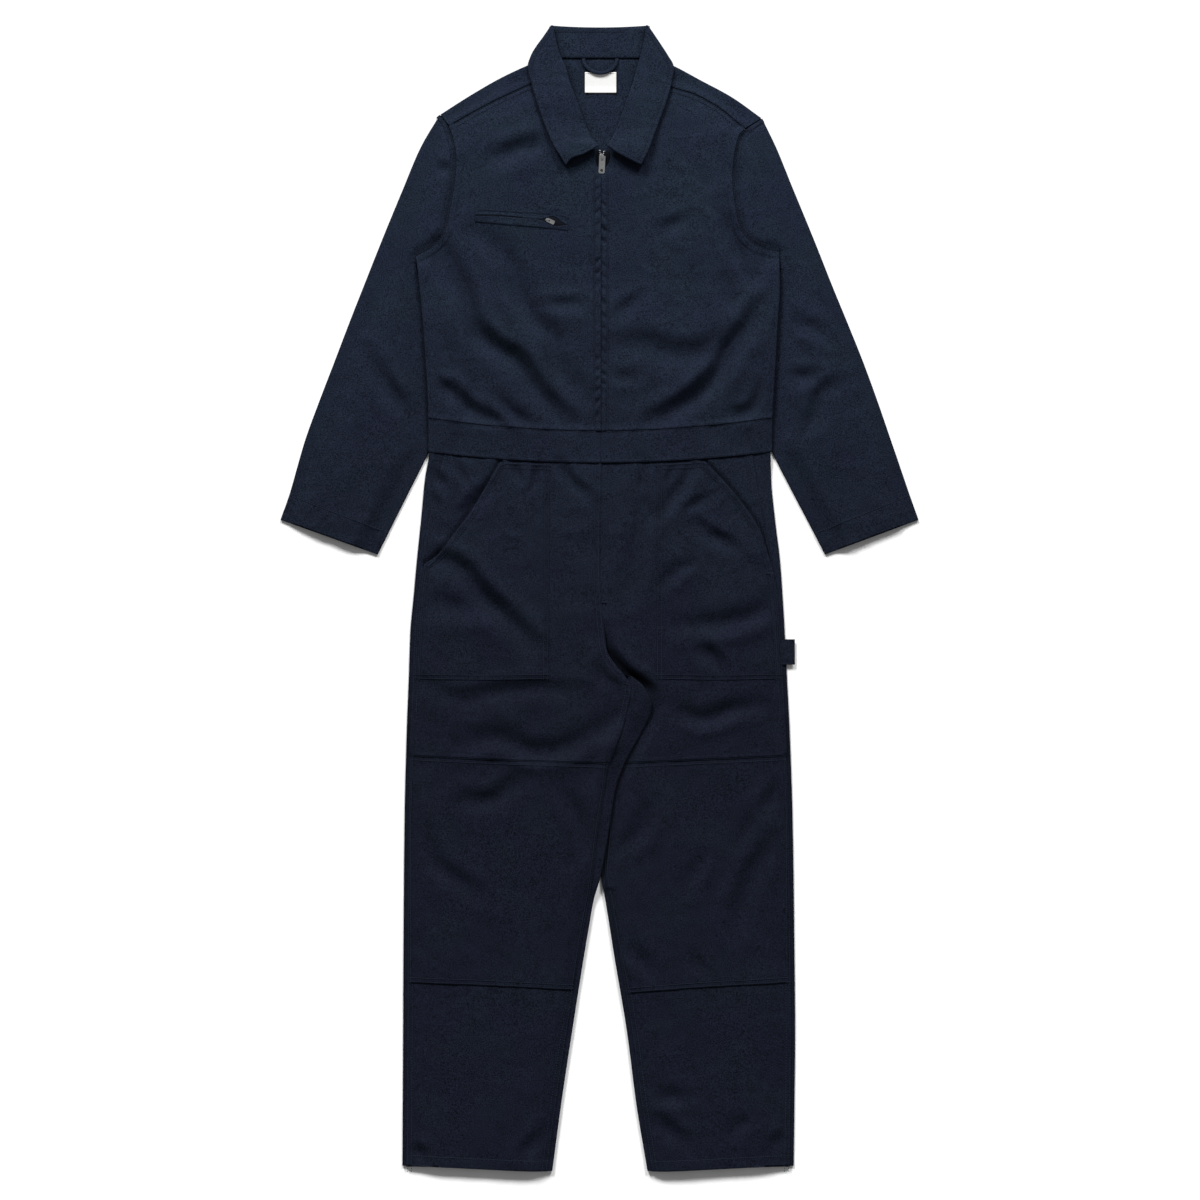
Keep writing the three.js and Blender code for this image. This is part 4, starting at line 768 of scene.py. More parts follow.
# Seams of the front, as paths in the plan
def waist_top(x):
    return 230.5 + 17.5 * (x / 235) ** 2


def waist_foot(x):
    return 188 + 15 * (x / 236) ** 2


def hem_y(x):
    return HEM + 7 * ramp(np.abs(x) - 66, 200)


def across(low, high, level, step=6.0):
    """A path from one x to another along a level given as a function of x."""
    x = np.linspace(low, high, max(int(abs(high - low) / step), 2) + 1)
    return np.column_stack([x, level(x)])


def down(x_of, top, foot, step=6.0):
    y = np.linspace(top, foot, max(int(abs(top - foot) / step), 2) + 1)
    return np.column_stack([x_of(y), y])


armholes = {side: spline(points(ARMHOLE[side]), 3) for side, _ in SIDES}
shoulder_seams = {side: spline(points(SHOULDER[side], "seamX", "seamY"), 3) for side, _ in SIDES}
shoulder_edges = {side: spline(points(SHOULDER[side]), 3) for side, _ in SIDES}
waist_ends = {"left": float(trunk["left"](247.0)), "right": float(trunk["right"](247.0))}


def cut_from(path, start):
    """The part of a path from the place nearest to a point."""
    path = np.asarray(path)
    nearest = np.argmin(np.linalg.norm(path - np.asarray(start), axis=1))
    return np.vstack([[start], path[nearest + 1:]])


def body_side(side):
    """Armhole below the shoulder seam, then the side of the trunk to the waist."""
    end = shoulder_seams[side][-1]
    hole = cut_from(armholes[side], end)
    flank = down(trunk[side], hole[-1][1], float(waist_top(waist_ends[side])))
    return np.vstack([hole, flank[1:]])


def front_edge(side):
    neck = np.column_stack([NECKLINE[side], NECKLINE["y"]])
    part = np.column_stack([FRONT_PART[side], FRONT_PART["y"]])
    foot = [part[-1, 0], float(waist_top(part[-1, 0]))]
    return joined(neck, [neck[-1], part[0], part[1]], [part[1], foot])


front_seams = {side: front_edge(side) for side, _ in SIDES}
body_sides = {side: body_side(side) for side, _ in SIDES}
for side, sign in SIDES:
    seam, flank = shoulder_seams[side], body_sides[side]
    inner = front_seams[side]
    foot = across(flank[-1][0], inner[-1][0], waist_top)
    shoulder_run = seam.copy()
    shoulder_run[0] = inner[0]
    if sign < 0:
        plan = patch(shoulder_run[::-1], foot, flank, inner, FINER)
    else:
        plan = patch(shoulder_run, foot[::-1], inner, flank, FINER)
    marks = [
        (seam, 4, -0.9, 0.25, 6.0, 3.5), (armholes[side], 9, 0.9, 0.4, 7.0, 1.8),
        (spline(COLLAR[side]["edge"], 3), 7, -1.3, 0.2, 6.0, 6.5), (foot, 9, 1.8, 0.5, 9.0, 9.0),
    ]
    cloth(f"front_bodice_{side}", sheet_mesh(plan, raised(bodice_top, 0, marks), drop=1.5), navy)


# Back bodice: the sheet underneath, and its shoulders folded forward to their seams
def fold_over(edge_path, seam_path):
    """Cloth that comes from underneath, turns round an edge and laps over the front at a seam."""
    count, bend, tuck_in = 64, 1.4, 8.0
    outer, inner = resample(edge_path, count), resample(seam_path, count)
    way = inner - outer
    width = np.linalg.norm(way, axis=1)[:, None]
    way = way / width
    low = base_torso(outer[:, 0], outer[:, 1])[:, None] + UNDERSIDE
    high = top_torso(inner[:, 0], inner[:, 1])[:, None]
    ease = top_torso(outer[:, 0] + way[:, 0] * 4, outer[:, 1] + way[:, 1] * 4)[:, None]
    stations = [(tuck_in, low)]
    radius = (ease - low) / 2
    for angle in np.linspace(-90, 90, 8):
        a = math.radians(angle)
        stations.append((bend * (1 - math.cos(a)), low + radius * (1 + math.sin(a))))
    for share in (0.25, 0.5, 0.75):
        at = outer + way * width * share
        height = top_torso(at[:, 0], at[:, 1])[:, None]
        stations.append((width * share, np.maximum(height, ease - 0.2) - 0.15))
    lap = [(-4, 0.25), (-0.5, 0.45), (0.5, 0.2), (0.6, -0.6), (-1.0, -1.3)]
    stations += [(width + beyond, high + rise) for beyond, rise in lap]
    rows = [np.column_stack([outer + way * d, np.broadcast_to(z, (count, 1))]) for d, z in stations]
    return grid_mesh(np.stack(rows), lambda vertices, faces: slice(len(faces) // 2, None))


def back_height(x, y):
    level = base_torso(x, y)
    return level + 0.5 + 0.12 * noise(x, y, 55, 41) * ramp(level, 0.5)


crest_run = np.vstack([shoulder_edges["left"][::-1], [[0, 746]], shoulder_edges["right"]])
crest_run = np.column_stack([crest_run[:, 0], np.minimum(crest_run[:, 1] - 1.4, 745)])
back_sides = {}
for side, _ in SIDES:
    hole = armholes[side].copy()
    hole[0] = crest_run[0] if side == "left" else crest_run[-1]
    back_sides[side] = np.vstack([hole, body_sides[side][body_sides[side][:, 1] < hole[-1][1] - 1]])
back_foot = across(back_sides["left"][-1][0], back_sides["right"][-1][0], waist_top)
back_plan = patch(crest_run, back_foot, back_sides["left"], back_sides["right"], COARSE)
back_parts = [sheet_mesh(back_plan, back_height, out=0.2, drop=0.4, lip=1.0)]
for side, _ in SIDES:
    back_parts.append(fold_over(shoulder_edges[side], shoulder_seams[side]))
cloth("back_bodice", merged(*back_parts), navy)


# Sleeves: flattened tubes whose heads lie under the body at the armhole
TURN = np.linspace(90, -90, 9)[1:-1]


def sleeve_mesh(side, sign):
    outer_curve = spline(points(SLEEVE_OUTER[side]), 3)
    rows = int(length_of(outer_curve) / FINE)
    places = np.linspace(0, 1, rows) ** 0.94
    at = np.linspace(0, 1, len(SLEEVE_OUTER[side]["x"]))

    def station_curve(rows_of):
        control = {"at": at, "x": rows_of["x"], "y": rows_of["y"]}
        return np.column_stack([line(control, "x", "at")(places), line(control, "y", "at")(places)])

    outer, inner = station_curve(SLEEVE_OUTER[side]), station_curve(SLEEVE_INNER[side])
    spots = np.linspace(0, 1, 58)
    head = resample(armholes[side], len(spots))
    chord = mix(head[:1], head[-1:], spots[:, None])
    bulge = head - chord
    weight = ramp(places - 0.42, 0.58)[:, None, None]
    plan = mix(outer[:, None], inner[:, None], spots[None, :, None]) + weight * bulge[None]
    inward = beside(head, sign * 1.0) - head
    tucked = [plan[-1] + inward * by for by in (1.5, 3.5, 6.0)]
    plan = np.concatenate([plan, np.stack(tucked)])
    past = np.concatenate([np.zeros(rows), [1.0, 2.0, 2.6]])[:, None]
    x, y = plan[..., 0], plan[..., 1]
    width = np.linalg.norm(plan[:, -1] - plan[:, 0], axis=1)[:, None]
    from_outer = spots[None] * width
    from_inner = width - from_outer
    limit = np.where(y > 201, trunk[side](y), tuck[side](y))
    shown = ramp(sign * (x - limit) - 4, 40)
    swell = CROWN * ramp(from_outer, SWELL) * mix(1, ramp(from_inner, 40), ramp(205 - y, 30))
    waves = ramp(from_outer - 5, 20) * (fold_depth(x, y) + crumple(x, y))
    own = (swell + waves) * shown
    hole_distance, along, _ = near(x, y, armholes[side], 80)
    blend = ramp(60 - hole_distance, 60) * (y > 465)
    height = mix(settled(own), relief(x, y), blend)
    puckers = 0.2 * np.exp(-hole_distance / 7) * noise(along, 0.2 * hole_distance, 6, 31)
    hem_distance, _, _ = near(x, y, [outer[0], inner[0]], 60)
    hem = 0.5 * ramp(CUFF_HEM + 0.5 - hem_distance, 1.6)
    hem = hem + 0.12 * np.exp(-np.abs(hem_distance - CUFF_HEM) / 5) * noise(x, y, 7, 43)
    trench = 2.3 * ramp(14 - hole_distance, 12)
    from_body = sign * (x - trunk[side](y))
    trench += 2.4 * bell(from_body, 13) * ramp(y - 200, 60) * ramp(474 - y, 12)
    top = LAYER + CLOTH + height + puckers + hem - trench
    top = top - 1.1 * past * (hole_distance < 9) - 0.35 * (past > 0)
    under_level = 0.1 + 1.2 * np.minimum(past, 1)
    top = np.maximum(top, under_level + 0.6)
    low = under_level[:, 0]
    bottom_spots = np.linspace(1, 0, 16)
    lower = mix(plan[:, :1], plan[:, -1:], bottom_spots[None, :, None])
    lower = lower + np.concatenate([weight, np.ones((3, 1, 1))]) * np.stack(
        [np.interp(bottom_spots, spots, bulge[:, k]) for k in (0, 1)], 1)[None]
    way = (plan[:, -1] - plan[:, 0]) / width

    def turned(side_points, direction, top_z, low_z, angles):
        loops = []
        radius = (top_z - low_z) / 2
        for angle in angles:
            a = math.radians(angle)
            z = low_z + radius * (1 + math.sin(a))
            reach = BEND * math.cos(a) - BEND
            loops.append(np.column_stack([side_points + direction * reach, z]))
        return loops

    columns = [np.column_stack([plan[:, k] - way * (BEND if k == len(spots) - 1 else 0), top[:, k]])
               for k in range(1, len(spots))]
    columns += turned(plan[:, -1], way, top[:, -1], low, TURN)
    columns += [np.column_stack([lower[:, k], low]) for k in range(1, len(bottom_spots) - 1)]
    columns += turned(plan[:, 0], -way, top[:, 0], low, TURN[::-1])
    columns.append(np.column_stack([plan[:, 0] + way * BEND, top[:, 0]]))
    ring = np.stack(columns, 1)
    hem_in = ring[:3].copy()
    along_sleeve = (outer[3] - outer[0]) / np.linalg.norm(outer[3] - outer[0])
    middle = (ring[0, :, 2].max() + ring[0, :, 2].min()) / 2
    for k, (inset, close) in enumerate([(14, 0.42), (5, 0.30), (0.6, 0.16)]):
        hem_in[k, :, :2] = ring[0, :, :2] + along_sleeve * inset
        hem_in[k, :, 2] = mix(ring[0, :, 2], middle, close)
    ring[0, :, :2] -= along_sleeve * 0.2
    whole = np.concatenate([hem_in, ring])
    return grid_mesh(whole, lambda vertices, faces: vertices[faces[:, 0], 2] > 2.3, ring=True)


for side, sign in SIDES:
    cloth(f"sleeve_{side}", sleeve_mesh(side, sign), navy_cross)


# Trouser backs: underneath, turned forward at the side and, below the crotch, at the inseam
def trouser_back_mesh(side, sign):
    base, top = (base_left, top_left) if side == "left" else (base_right, top_right)
    inner_edge, inner_seam = ("edgeL", "seamL") if side == "left" else ("edgeR", "seamR")
    y = np.concatenate([np.linspace(float(waist_foot(236)) + 1, CROTCH + 30, 50),
                        np.linspace(CROTCH + 28, -300, 55), np.linspace(-305, HEM, 90)])
    outer = trunk[side](y)
    seam = side_seam[side](y)
    growing = ramp(CROTCH + 16 - y, 18)
    seat = np.where(y > -106, rise_x(y), leg[inner_seam](y)) + (0 if side == "left" else 1)
    inner_x = mix(seat, leg[inner_edge](np.minimum(y, CROTCH)), growing)
    inner_seam_x = mix(seat, leg[inner_seam](np.minimum(y, CROTCH)), growing)

    def section(edge_x, seam_x, inward):
        """From the seam, past 3 mm below it, out to the edge and round it."""
        high = top(seam_x, y)
        ease = top(edge_x + inward * np.minimum(4, np.abs(seam_x - edge_x)), y)
        low = base(edge_x, y) + UNDERSIDE
        out = [(seam_x + inward * 3, high - 1.35), (seam_x, high - 0.5)]
        for share in (0.66, 0.33):
            x = mix(edge_x, seam_x, share)
            out.append((x, top(x, y) - 0.15))
        radius = (ease - low) / 2
        for angle in np.linspace(90, -90, 8):
            a = math.radians(angle)
            out.append((edge_x + inward * BEND * (1 - math.cos(a)), low + radius * (1 + math.sin(a))))
        return out

    outside = section(outer, seam, -sign)
    inside = section(inner_x, inner_seam_x, sign)[::-1]
    start, end = outer - sign * 6, inner_x + sign * 6
    bottom = []
    for share in np.linspace(0, 1, 40)[1:-1]:
        x = mix(start, end, share)
        bottom.append((x, base(x, y) + UNDERSIDE + 0.05 * noise(x, y, 60, 47)))
    stations = [*outside, *bottom, *inside]
    grid = np.stack([np.column_stack([x, y, z]) for x, z in stations], 1)
    foot = grid[:, :, 1] < HEM + 12
    share = np.clip((HEM + 12 - grid[:, :, 1]) / 12, 0, 1)
    grid[:, :, 1] = grid[:, :, 1] + share * (hem_y(grid[:, :, 0]) - HEM) * foot
    head = grid[:, :, 1] > 180
    ceiling = waist_foot(grid[:, :, 0]) + 1.0
    grid[:, :, 1] = np.where(head, np.minimum(grid[:, :, 1], ceiling), grid[:, :, 1])
    columns = grid.shape[1]
    return grid_mesh(grid, lambda vertices, faces: faces[:, 0] % columns < 3)


for side, sign in SIDES:
    cloth(f"trouser_back_{side}", trouser_back_mesh(side, sign), navy)


# Trouser fronts, sunk along the pocket openings, with a folded edge over the knee patches
SLANTS = {
    "left": [(-137, 187), (-152, 161), (-176, 121), (-198, 91), (-226, 57), (-242, 46)],
    "right": [(145, 188), (176, 155), (205, 119), (220, 95), (232, 62), (241, 30)],
}
KNEE_TOPS = {
    "left": [(-259, -216), (-121, -222), (9, -226)],
    "right": [(28, -226), (120, -222), (256, -216)],
}
KNEE_STEP = 1.9  # how far the front stands over the top edge of the patch
inseams = {
    "left": spline(np.vstack([points(RISE), points(LEGS, "seamL", "y")]), 4),
    "right": spline(np.vstack([points(RISE), points(LEGS, "seamR", "y")]), 4),
}
side_paths = {side: down(side_seam[side], 203, HEM, 5) for side, _ in SIDES}


def front_top(side, knee_y):
    """The front, raised where it nears the top edge of the knee patch."""
    def at(x, y):
        above = y - knee_y(x)
        return top_leg[side](x, y) + KNEE_STEP * ramp(75 - above, 70) * (above > 0.5)

    return at


for side, sign in SIDES:
    inner = inseams[side].copy()
    outer_path = side_paths[side].copy()
    outer_path[0, 1] = float(waist_foot(outer_path[0, 0])) + 1
    outer_path[-1, 1] = float(hem_y(outer_path[-1, 0]))
    inner[0, 1] = float(waist_foot(inner[0, 0])) + 1
    head = across(outer_path[0, 0], inner[0, 0], lambda x: waist_foot(x) + 1)
    hem = across(outer_path[-1, 0], inner[-1, 0], hem_y)
    if sign < 0:
        inner[:, 0] += 0.6
        head[-1], hem[-1] = inner[0], inner[-1]
        plan = patch(head, hem, outer_path, inner, FINE)
    else:
        plan = patch(head[::-1], hem[::-1], inner, outer_path, FINE)
    level = CROTCH + 20
    marks = [
        (side_paths[side], 7, 0.3, 0.16), (inner[inner[:, 1] > level], 6, 0.35, 0.22),
        (inner[inner[:, 1] <= level], 7, 0.1, 0.18), (beside(hem, 14), 1, 0.0, 0.14),
        (spline(SLANTS[side], 3), 6, -2.6, 0.5, 8.0, 4.0), (head, 9, -0.4, 1.1, 9.0, 6.0),
    ]
    knee = spline(KNEE_TOPS[side], 3)
    knee_y = line(table("x y", KNEE_TOPS[side]), "y", "x")
    front = sheet_mesh(plan, raised(front_top(side, knee_y), 0, marks), drop=1.5)
    knee_lip = lip(knee, raised(top_leg[side], KNEE_STEP))
    cloth(f"trouser_front_{side}", merged(front, knee_lip), navy)

# Hip pockets and knee patches on the trouser fronts
POCKET_EDGES = {
    "hip_pocket_left": {
        "side": "left",
        "top": [[(-137, 187), (-68, 184)]],
        "bottom": [[(-255.5, -112), (-160, -113.5), (-70, -112)]],
        "left": [SLANTS["left"], [(-242, 46), (-248, 0), (-253, -62), (-255.5, -112)]],
        "right": [[(-68, 184), (-69, 30), (-70, -112)]],
    },
    "hip_pocket_right": {
        "side": "right",
        "top": [[(78, 184), (145, 188)]],
        "bottom": [[(78, -112), (160, -113.5), (250.5, -112)]],
        "left": [[(78, 184), (79, 30), (78, -112)]],
        "right": [SLANTS["right"], [(241, 30), (244, -3), (247, -46), (250.5, -112)]],
    },
    "knee_patch_left": {
        "side": "left",
        "top": [KNEE_TOPS["left"]],
        "bottom": [[(-262, -530), (-150, -534), (-37, -540)]],
        "left": [[(-259, -216), (-261.5, -300), (-262, -400), (-262, -530)]],
        "right": [[(9, -226), (5, -264), (-2, -308), (-11.5, -384), (-29, -486), (-37, -540)]],
    },
    "knee_patch_right": {
        "side": "right",
        "top": [KNEE_TOPS["right"]],
        "bottom": [[(40, -544), (150, -536), (260, -530)]],
        "left": [[(28, -226), (18, -264), (13, -330), (10, -384), (16, -417), (28, -486), (40, -544)]],
        "right": [[(256, -216), (259, -300), (259.5, -400), (260, -530)]],
    },
}
EDGE_KEYS = ("top", "bottom", "left", "right")
# How far the top, right, bottom and left edges turn down
POCKET_DROPS = {"hip_pocket_left": [0.45, 0.45, 0.45, 3.5], "hip_pocket_right": [0.45, 3.5, 0.45, 0.45]}
PATCH_DROPS = [0.95] * 4
pocket_paths = {}
for name, row in POCKET_EDGES.items():
    edges = {key: joined(*row[key]) for key in EDGE_KEYS}
    pocket_paths[name] = edges
    plan = patch(*[edges[key] for key in EDGE_KEYS], FINE)
    hip = name in POCKET_DROPS
    if hip:
        slant = spline(SLANTS[row["side"]], 3)
        inner = edges["right" if row["side"] == "left" else "left"]
        marks = [(slant, 8, 1.1, 0.4, 7.0, 6.0), (edges["bottom"], 6, -0.22, 0.12, 5.5, 5.0),
                 (inner, 6, -0.2, 0.15, 5.5, 5.0)]
    else:
        marks = [(edges["top"], 6, -0.3, 0.3, 7.0, 5.0), (edges["bottom"], 6, 0.3, 0.3, 7.0, 5.0)]
    height = raised(top_leg[row["side"]], 0.42 if hip else 0.9, marks)
    cloth(name, sheet_mesh(plan, height, out=0.3, drops=POCKET_DROPS.get(name, PATCH_DROPS)), navy)


# Waistband, raised over the cloth above and below it
BAND_LAP = 1.5


def waist_edges(left, right, lap):
    head = across(left, right, lambda x: waist_top(x) + lap)
    return head, across(left, right, lambda x: waist_foot(x) - lap)


for side, sign in SIDES:
    head, foot = waist_edges(waist_ends[side], FRONT + sign * SEAM, BAND_LAP)
    plan = between(head[::-sign], foot[::-sign], 2.6)
    band_top = raised(top_torso, BAND, [(foot, 5, 0.5, 0.3, 8.0, 4.0)])
    cloth(f"waistband_front_{side}", sheet_mesh(plan, band_top, drop=1.3), navy_cross)
head, foot = waist_edges(waist_ends["left"], waist_ends["right"], 1)
band_back_top = raised(base_torso, 0.75)
band_back = sheet_mesh(between(head, foot, COARSE), band_back_top, out=0.3, drop=0.6, lip=1)
cloth("waistband_back", band_back, navy_cross)


# Collar: leaves over the shoulders, stand and fall behind the neck
def top_collar(side):
    edge_path, roll_path = spline(COLLAR[side]["edge"], 3), spline(COLLAR[side]["roll"], 3)

    def at(x, y):
        to_edge, _, _ = near(x, y, edge_path, 140)
        to_roll, _, _ = near(x, y, roll_path, 140)
        share = to_edge / (to_edge + to_roll + 1e-6)
        lift = 3.0 + 1.2 * share * share + 6.2 * ramp(655 - y, 50)
        plump = 0.5 * ramp(to_edge - 5, 8) * ramp(to_roll - 3, 12)
        creased = ramp(noise(x, y, 40, 71) + 0.4, 0.8)
        cross = 0.5 * noise(0.12 * x, y + 0.15 * x, 8, 53) * ramp(to_edge + 1, 8) * creased
        return top_torso(x, y) + lift + 1.5 + plump + cross

    return at


collar_parts = []
for side, sign in SIDES:
    row = COLLAR[side]
    edge_path, roll_path = spline(row["edge"], 2), spline(row["roll"], 2)
    front_path = spline(row["front"], 2)
    height = raised(top_collar(side), 0, [(edge_path, 6, 0.15, 0.22), (front_path, 6, 0.15, 0.2)])
    head = np.array([edge_path[0], roll_path[0]])
    if sign < 0:
        plan = patch(head, front_path, edge_path, roll_path, 1.8)
        drops = [2.5, 4.4, 2.6, 1.7]
    else:
        plan = patch(head[::-1], front_path[::-1], roll_path, edge_path, 1.8)
        drops = [2.5, 1.7, 4.4, 2.6]
    collar_parts.append(sheet_mesh(plan, height, out=0.8, drop=1.7, lip=5, drops=drops))


def collar_back_mesh():
    """The stand behind the neck, the turn at the top edge and the fall underneath."""
    count = 61
    share = np.linspace(-1, 1, count)
    level = np.zeros(count)
    top_edge = 789.6 - 2.5 * (1 - share**2)
    stand = [(746.5, 1.4), (744.8, 1.9), (744.2, 3.0), (744.8, 3.7), (747, 4.0), (753, 3.6), (762, 3.3),
             (776, 3.3), (783, 3.2)]
    fall = [(776, 74), (762, 84), (747, 93.5), (736, 97)]
    rows = []
    for y, z in stand:
        wave = 0.25 * noise(share * 60, level + y, 14, 59)
        rows.append(np.column_stack([share * 66.0, level + y, z + wave]))
    for angle in np.linspace(80, -90, 9):
        a = math.radians(angle)
        rows.append(np.column_stack([share * 65.5, top_edge - 1.6 + 1.6 * math.cos(a),
                                     1.75 + 1.5 * math.sin(a) + level]))
    for y, half in fall:
        rows.append(np.column_stack([share * half, level + y, level + 0.3]))
    return grid_mesh(np.stack(rows), lambda vertices, faces: slice((count - 1) * 4, (count - 1) * 8))


collar_parts.append(collar_back_mesh())
cloth("collar", merged(*collar_parts), navy_cross)


# Label and hanger loop inside the neck
def back_top(x, y):
    return base_torso(x, y) + 0.5


def label_top(x, y):
    """Slightly curled: higher at both ends and at its lower edge."""
    return back_top(x, y) + 1.0 + 0.5 * ((x - 1.5) / 21) ** 2 + 0.3 * ramp(706 - y, 9)


label_plan = between([(-20, 725), (23, 725)], [(-20, 697), (23, 697)], 1.5)
make("neck_label_cloth", sheet_mesh(label_plan, label_top, out=0.15, drop=0.4, lip=0.5), label_white,
     nodes=["neck_label"])


def ribbon(path, width, heights, plump):
    """A folded strip along a path, with a rounded section."""
    side = beside(path, 1.0) - path
    section = [(-0.5, 0), (-0.46, 0.7), (-0.3, 1), (0, 1.05), (0.3, 1), (0.46, 0.7), (0.5, 0), (0, -0.05)]
    columns = [np.column_stack([path + side * width * s, heights + plump * z]) for s, z in section]

    def crown(vertices, faces):
        column = faces[:, 0] % len(section)
        return (column > 0) & (column < 5)

    return grid_mesh(np.stack(columns, 1), crown, ring=True)


angles = np.linspace(math.pi, 2 * math.pi, 40)
loop_path = np.column_stack([1 + 23 * np.cos(angles), 744 + 20 * np.sin(angles)])
loop_height = back_top(loop_path[:, 0], loop_path[:, 1]) + 1.2 + 1.6 * np.sin(angles - math.pi)
cloth("hanger_loop", ribbon(loop_path, 5.0, loop_height, 1.1), navy)

# Folded loop in the right side seam
TAB = {"from": 250.0, "to": 269.4, "top": -57, "foot": -92}


def side_loop_mesh():
    y = np.linspace(TAB["top"], TAB["foot"], 24)
    wave = 0.25 * np.sin(y * 0.21)
    section = [(TAB["from"], 3.0), (258, 3.1), (264, 3.2), (268, 3.4), (TAB["to"], 4.1), (268, 4.9),
               (264, 5.1), (258, 5.2), (TAB["from"], 4.9)]
    grid = np.stack([np.column_stack([x + 0 * y, y, z + wave * (x > 255)]) for x, z in section], 1)
    return grid_mesh(grid, lambda vertices, faces: faces[:, 0] % len(section) > 4)


cloth("side_loop", side_loop_mesh(), navy)


# Front zip tape with its teeth, and the chest pocket's welts, tape and teeth
def zip_height(x, y):
    torso = top_torso(x, y)
    legs = np.minimum(top_left(x, y), top_right(x, y))
    return np.where(y > 200, torso, legs) - CLOTH - 0.9


zip_plan = between([(-10, 615), (14, 615)], [(-10, 2), (14, 2)], 5.0)
make("front_zip_tape", sheet_mesh(zip_plan, zip_height, out=0.2, drop=0.5, lip=1), tape,
     nodes=["front_zip"])


def boxes(centres, ways, sizes):
    """Many small blocks with softened ends, as one mesh."""
    centres, ways, sizes = np.asarray(centres, float), np.asarray(ways, float), np.asarray(sizes, float)
    ways = ways / (np.linalg.norm(ways, axis=1)[:, None] + 1e-9)
    up = np.tile([0.0, 0.0, 1.0], (len(ways), 1))
    side = np.cross(up, ways)
    side /= np.linalg.norm(side, axis=1)[:, None] + 1e-9
    up = np.cross(ways, side)
    corners = [(-1, -0.55, -1), (-1, 0.55, -1), (-1, 0.45, 0.35), (-1, -0.45, 0.35),
               (0, -1, -1), (0, 1, -1), (0, 0.75, 1), (0, -0.75, 1),
               (1, -0.55, -1), (1, 0.55, -1), (1, 0.45, 0.35), (1, -0.45, 0.35)]
    made = []
    for a, b, c in corners:
        made.append(centres + ways * a * sizes[:, :1] + side * b * sizes[:, 1:2] + up * c * sizes[:, 2:3])
    vertices = np.stack(made, 1).reshape(-1, 3)
    one = np.array([(4, 5, 1, 0), (5, 6, 2, 1), (6, 7, 3, 2), (7, 4, 0, 3), (8, 9, 5, 4), (9, 10, 6, 5),
                    (10, 11, 7, 6), (11, 8, 4, 7), (0, 1, 2, 3), (11, 10, 9, 8)])
    faces = (one[None] + 12 * np.arange(len(centres))[:, None, None]).reshape(-1, 4)
    return vertices, faces


def zip_teeth(path, height, gape, size):
    """Teeth on both sides of a path, one for each entry of gape, their distance from it."""
    count = len(gape)
    spots = resample(path, count)
    side = beside(spots, 1.0) - spots
    sign = np.where(np.arange(count) % 2, 1, -1)[:, None]
    place = spots + side * sign * (gape[:, None] + size[0] * 0.45)
    z = height(place[:, 0], place[:, 1])[:, None] + size[2]
    across_way = np.column_stack([side * sign, np.zeros(count)])
    return boxes(np.column_stack([place, z]), across_way, np.tile(size, (count, 1)))


chain_line = np.array([(3.5, 617), (3.0, 596), (2, 584)], float)
chain_gape = 0.4 + 2.2 * ramp(0.35 - np.linspace(0, 1, int(length_of(chain_line) / 1.25)), 0.4)
chain = zip_teeth(chain_line, zip_height, chain_gape, (1.5, 0.5, 0.55))
make("front_zip_teeth", chain, metal)

WELTS = {
    "chest_welt_upper": {
        "top": [(-171, 537), (-119, 534), (-71, 530.5), (-44, 527)],
        "bottom": [(-171, 528.2), (-145, 528), (-119, 526), (-80, 522.4), (-61.4, 525.4), (-55, 521),
                   (-49, 516), (-44, 514.6)],
    },
    "chest_welt_lower": {
        "top": [(-171, 526.2), (-145, 526), (-119, 524), (-80, 520), (-61.4, 512.4), (-50, 513),
                (-44, 514.2)],
        "bottom": [(-171, 518), (-119, 513), (-76, 509.5), (-44, 506)],
    },
}
for name, row in WELTS.items():
    head, foot = spline(row["top"], 2), spline(row["bottom"], 2)
    inner = foot if "upper" in name else head
    welt_top = raised(top_torso, 0.55, [(inner, 3, 0.35, 0.12)])
    cloth(name, sheet_mesh(between(head, foot, 1.3), welt_top, out=0.25, drop=0.6, lip=0.6), navy_cross)
gap_top = spline([(-170, 528), (-119, 526.2), (-80, 523), (-61.4, 526), (-55, 521.5), (-46, 516)], 2)
gap_foot = spline([(-170, 526), (-119, 523.6), (-80, 519.6), (-61.4, 512), (-50, 512.6), (-46, 513.5)], 2)
chest_tape_top = raised(top_torso, 0.3)
chest_tape = sheet_mesh(between(gap_top, gap_foot, 1.3), chest_tape_top, out=0.1, drop=0.2, lip=0.3)
make("chest_zip_tape", chest_tape, tape, nodes=["chest_zip"])
chest_line = spline([(-166, 527.0), (-119, 525.0), (-82, 521.3)], 2)
chest_gape = np.full(int(length_of(chest_line) / 1.3), 0.1)
chest_chain = zip_teeth(chest_line, chest_tape_top, chest_gape, (0.9, 0.45, 0.35))
make("chest_zip_teeth", chest_chain, tape)


# Stitching: short raised threads in rows
stitch_centres, stitch_ways, stitch_sizes = [], [], []


def stitch(path, height, pitch=3.6, long=1.15, wide=0.4):
    """A row of short threads along a path."""
    path = np.asarray(path, float)
    count = int(length_of(path) / pitch)
    if count < 2:
        return
    spots = resample(path, count)
    z = height(spots[:, 0], spots[:, 1]) + 0.14
    spots = np.column_stack([spots, z])
    stitch_centres.append(spots)
    stitch_ways.append(np.gradient(spots, axis=0))
    stitch_sizes.append(np.tile([long, wide, 0.22], (count, 1)))


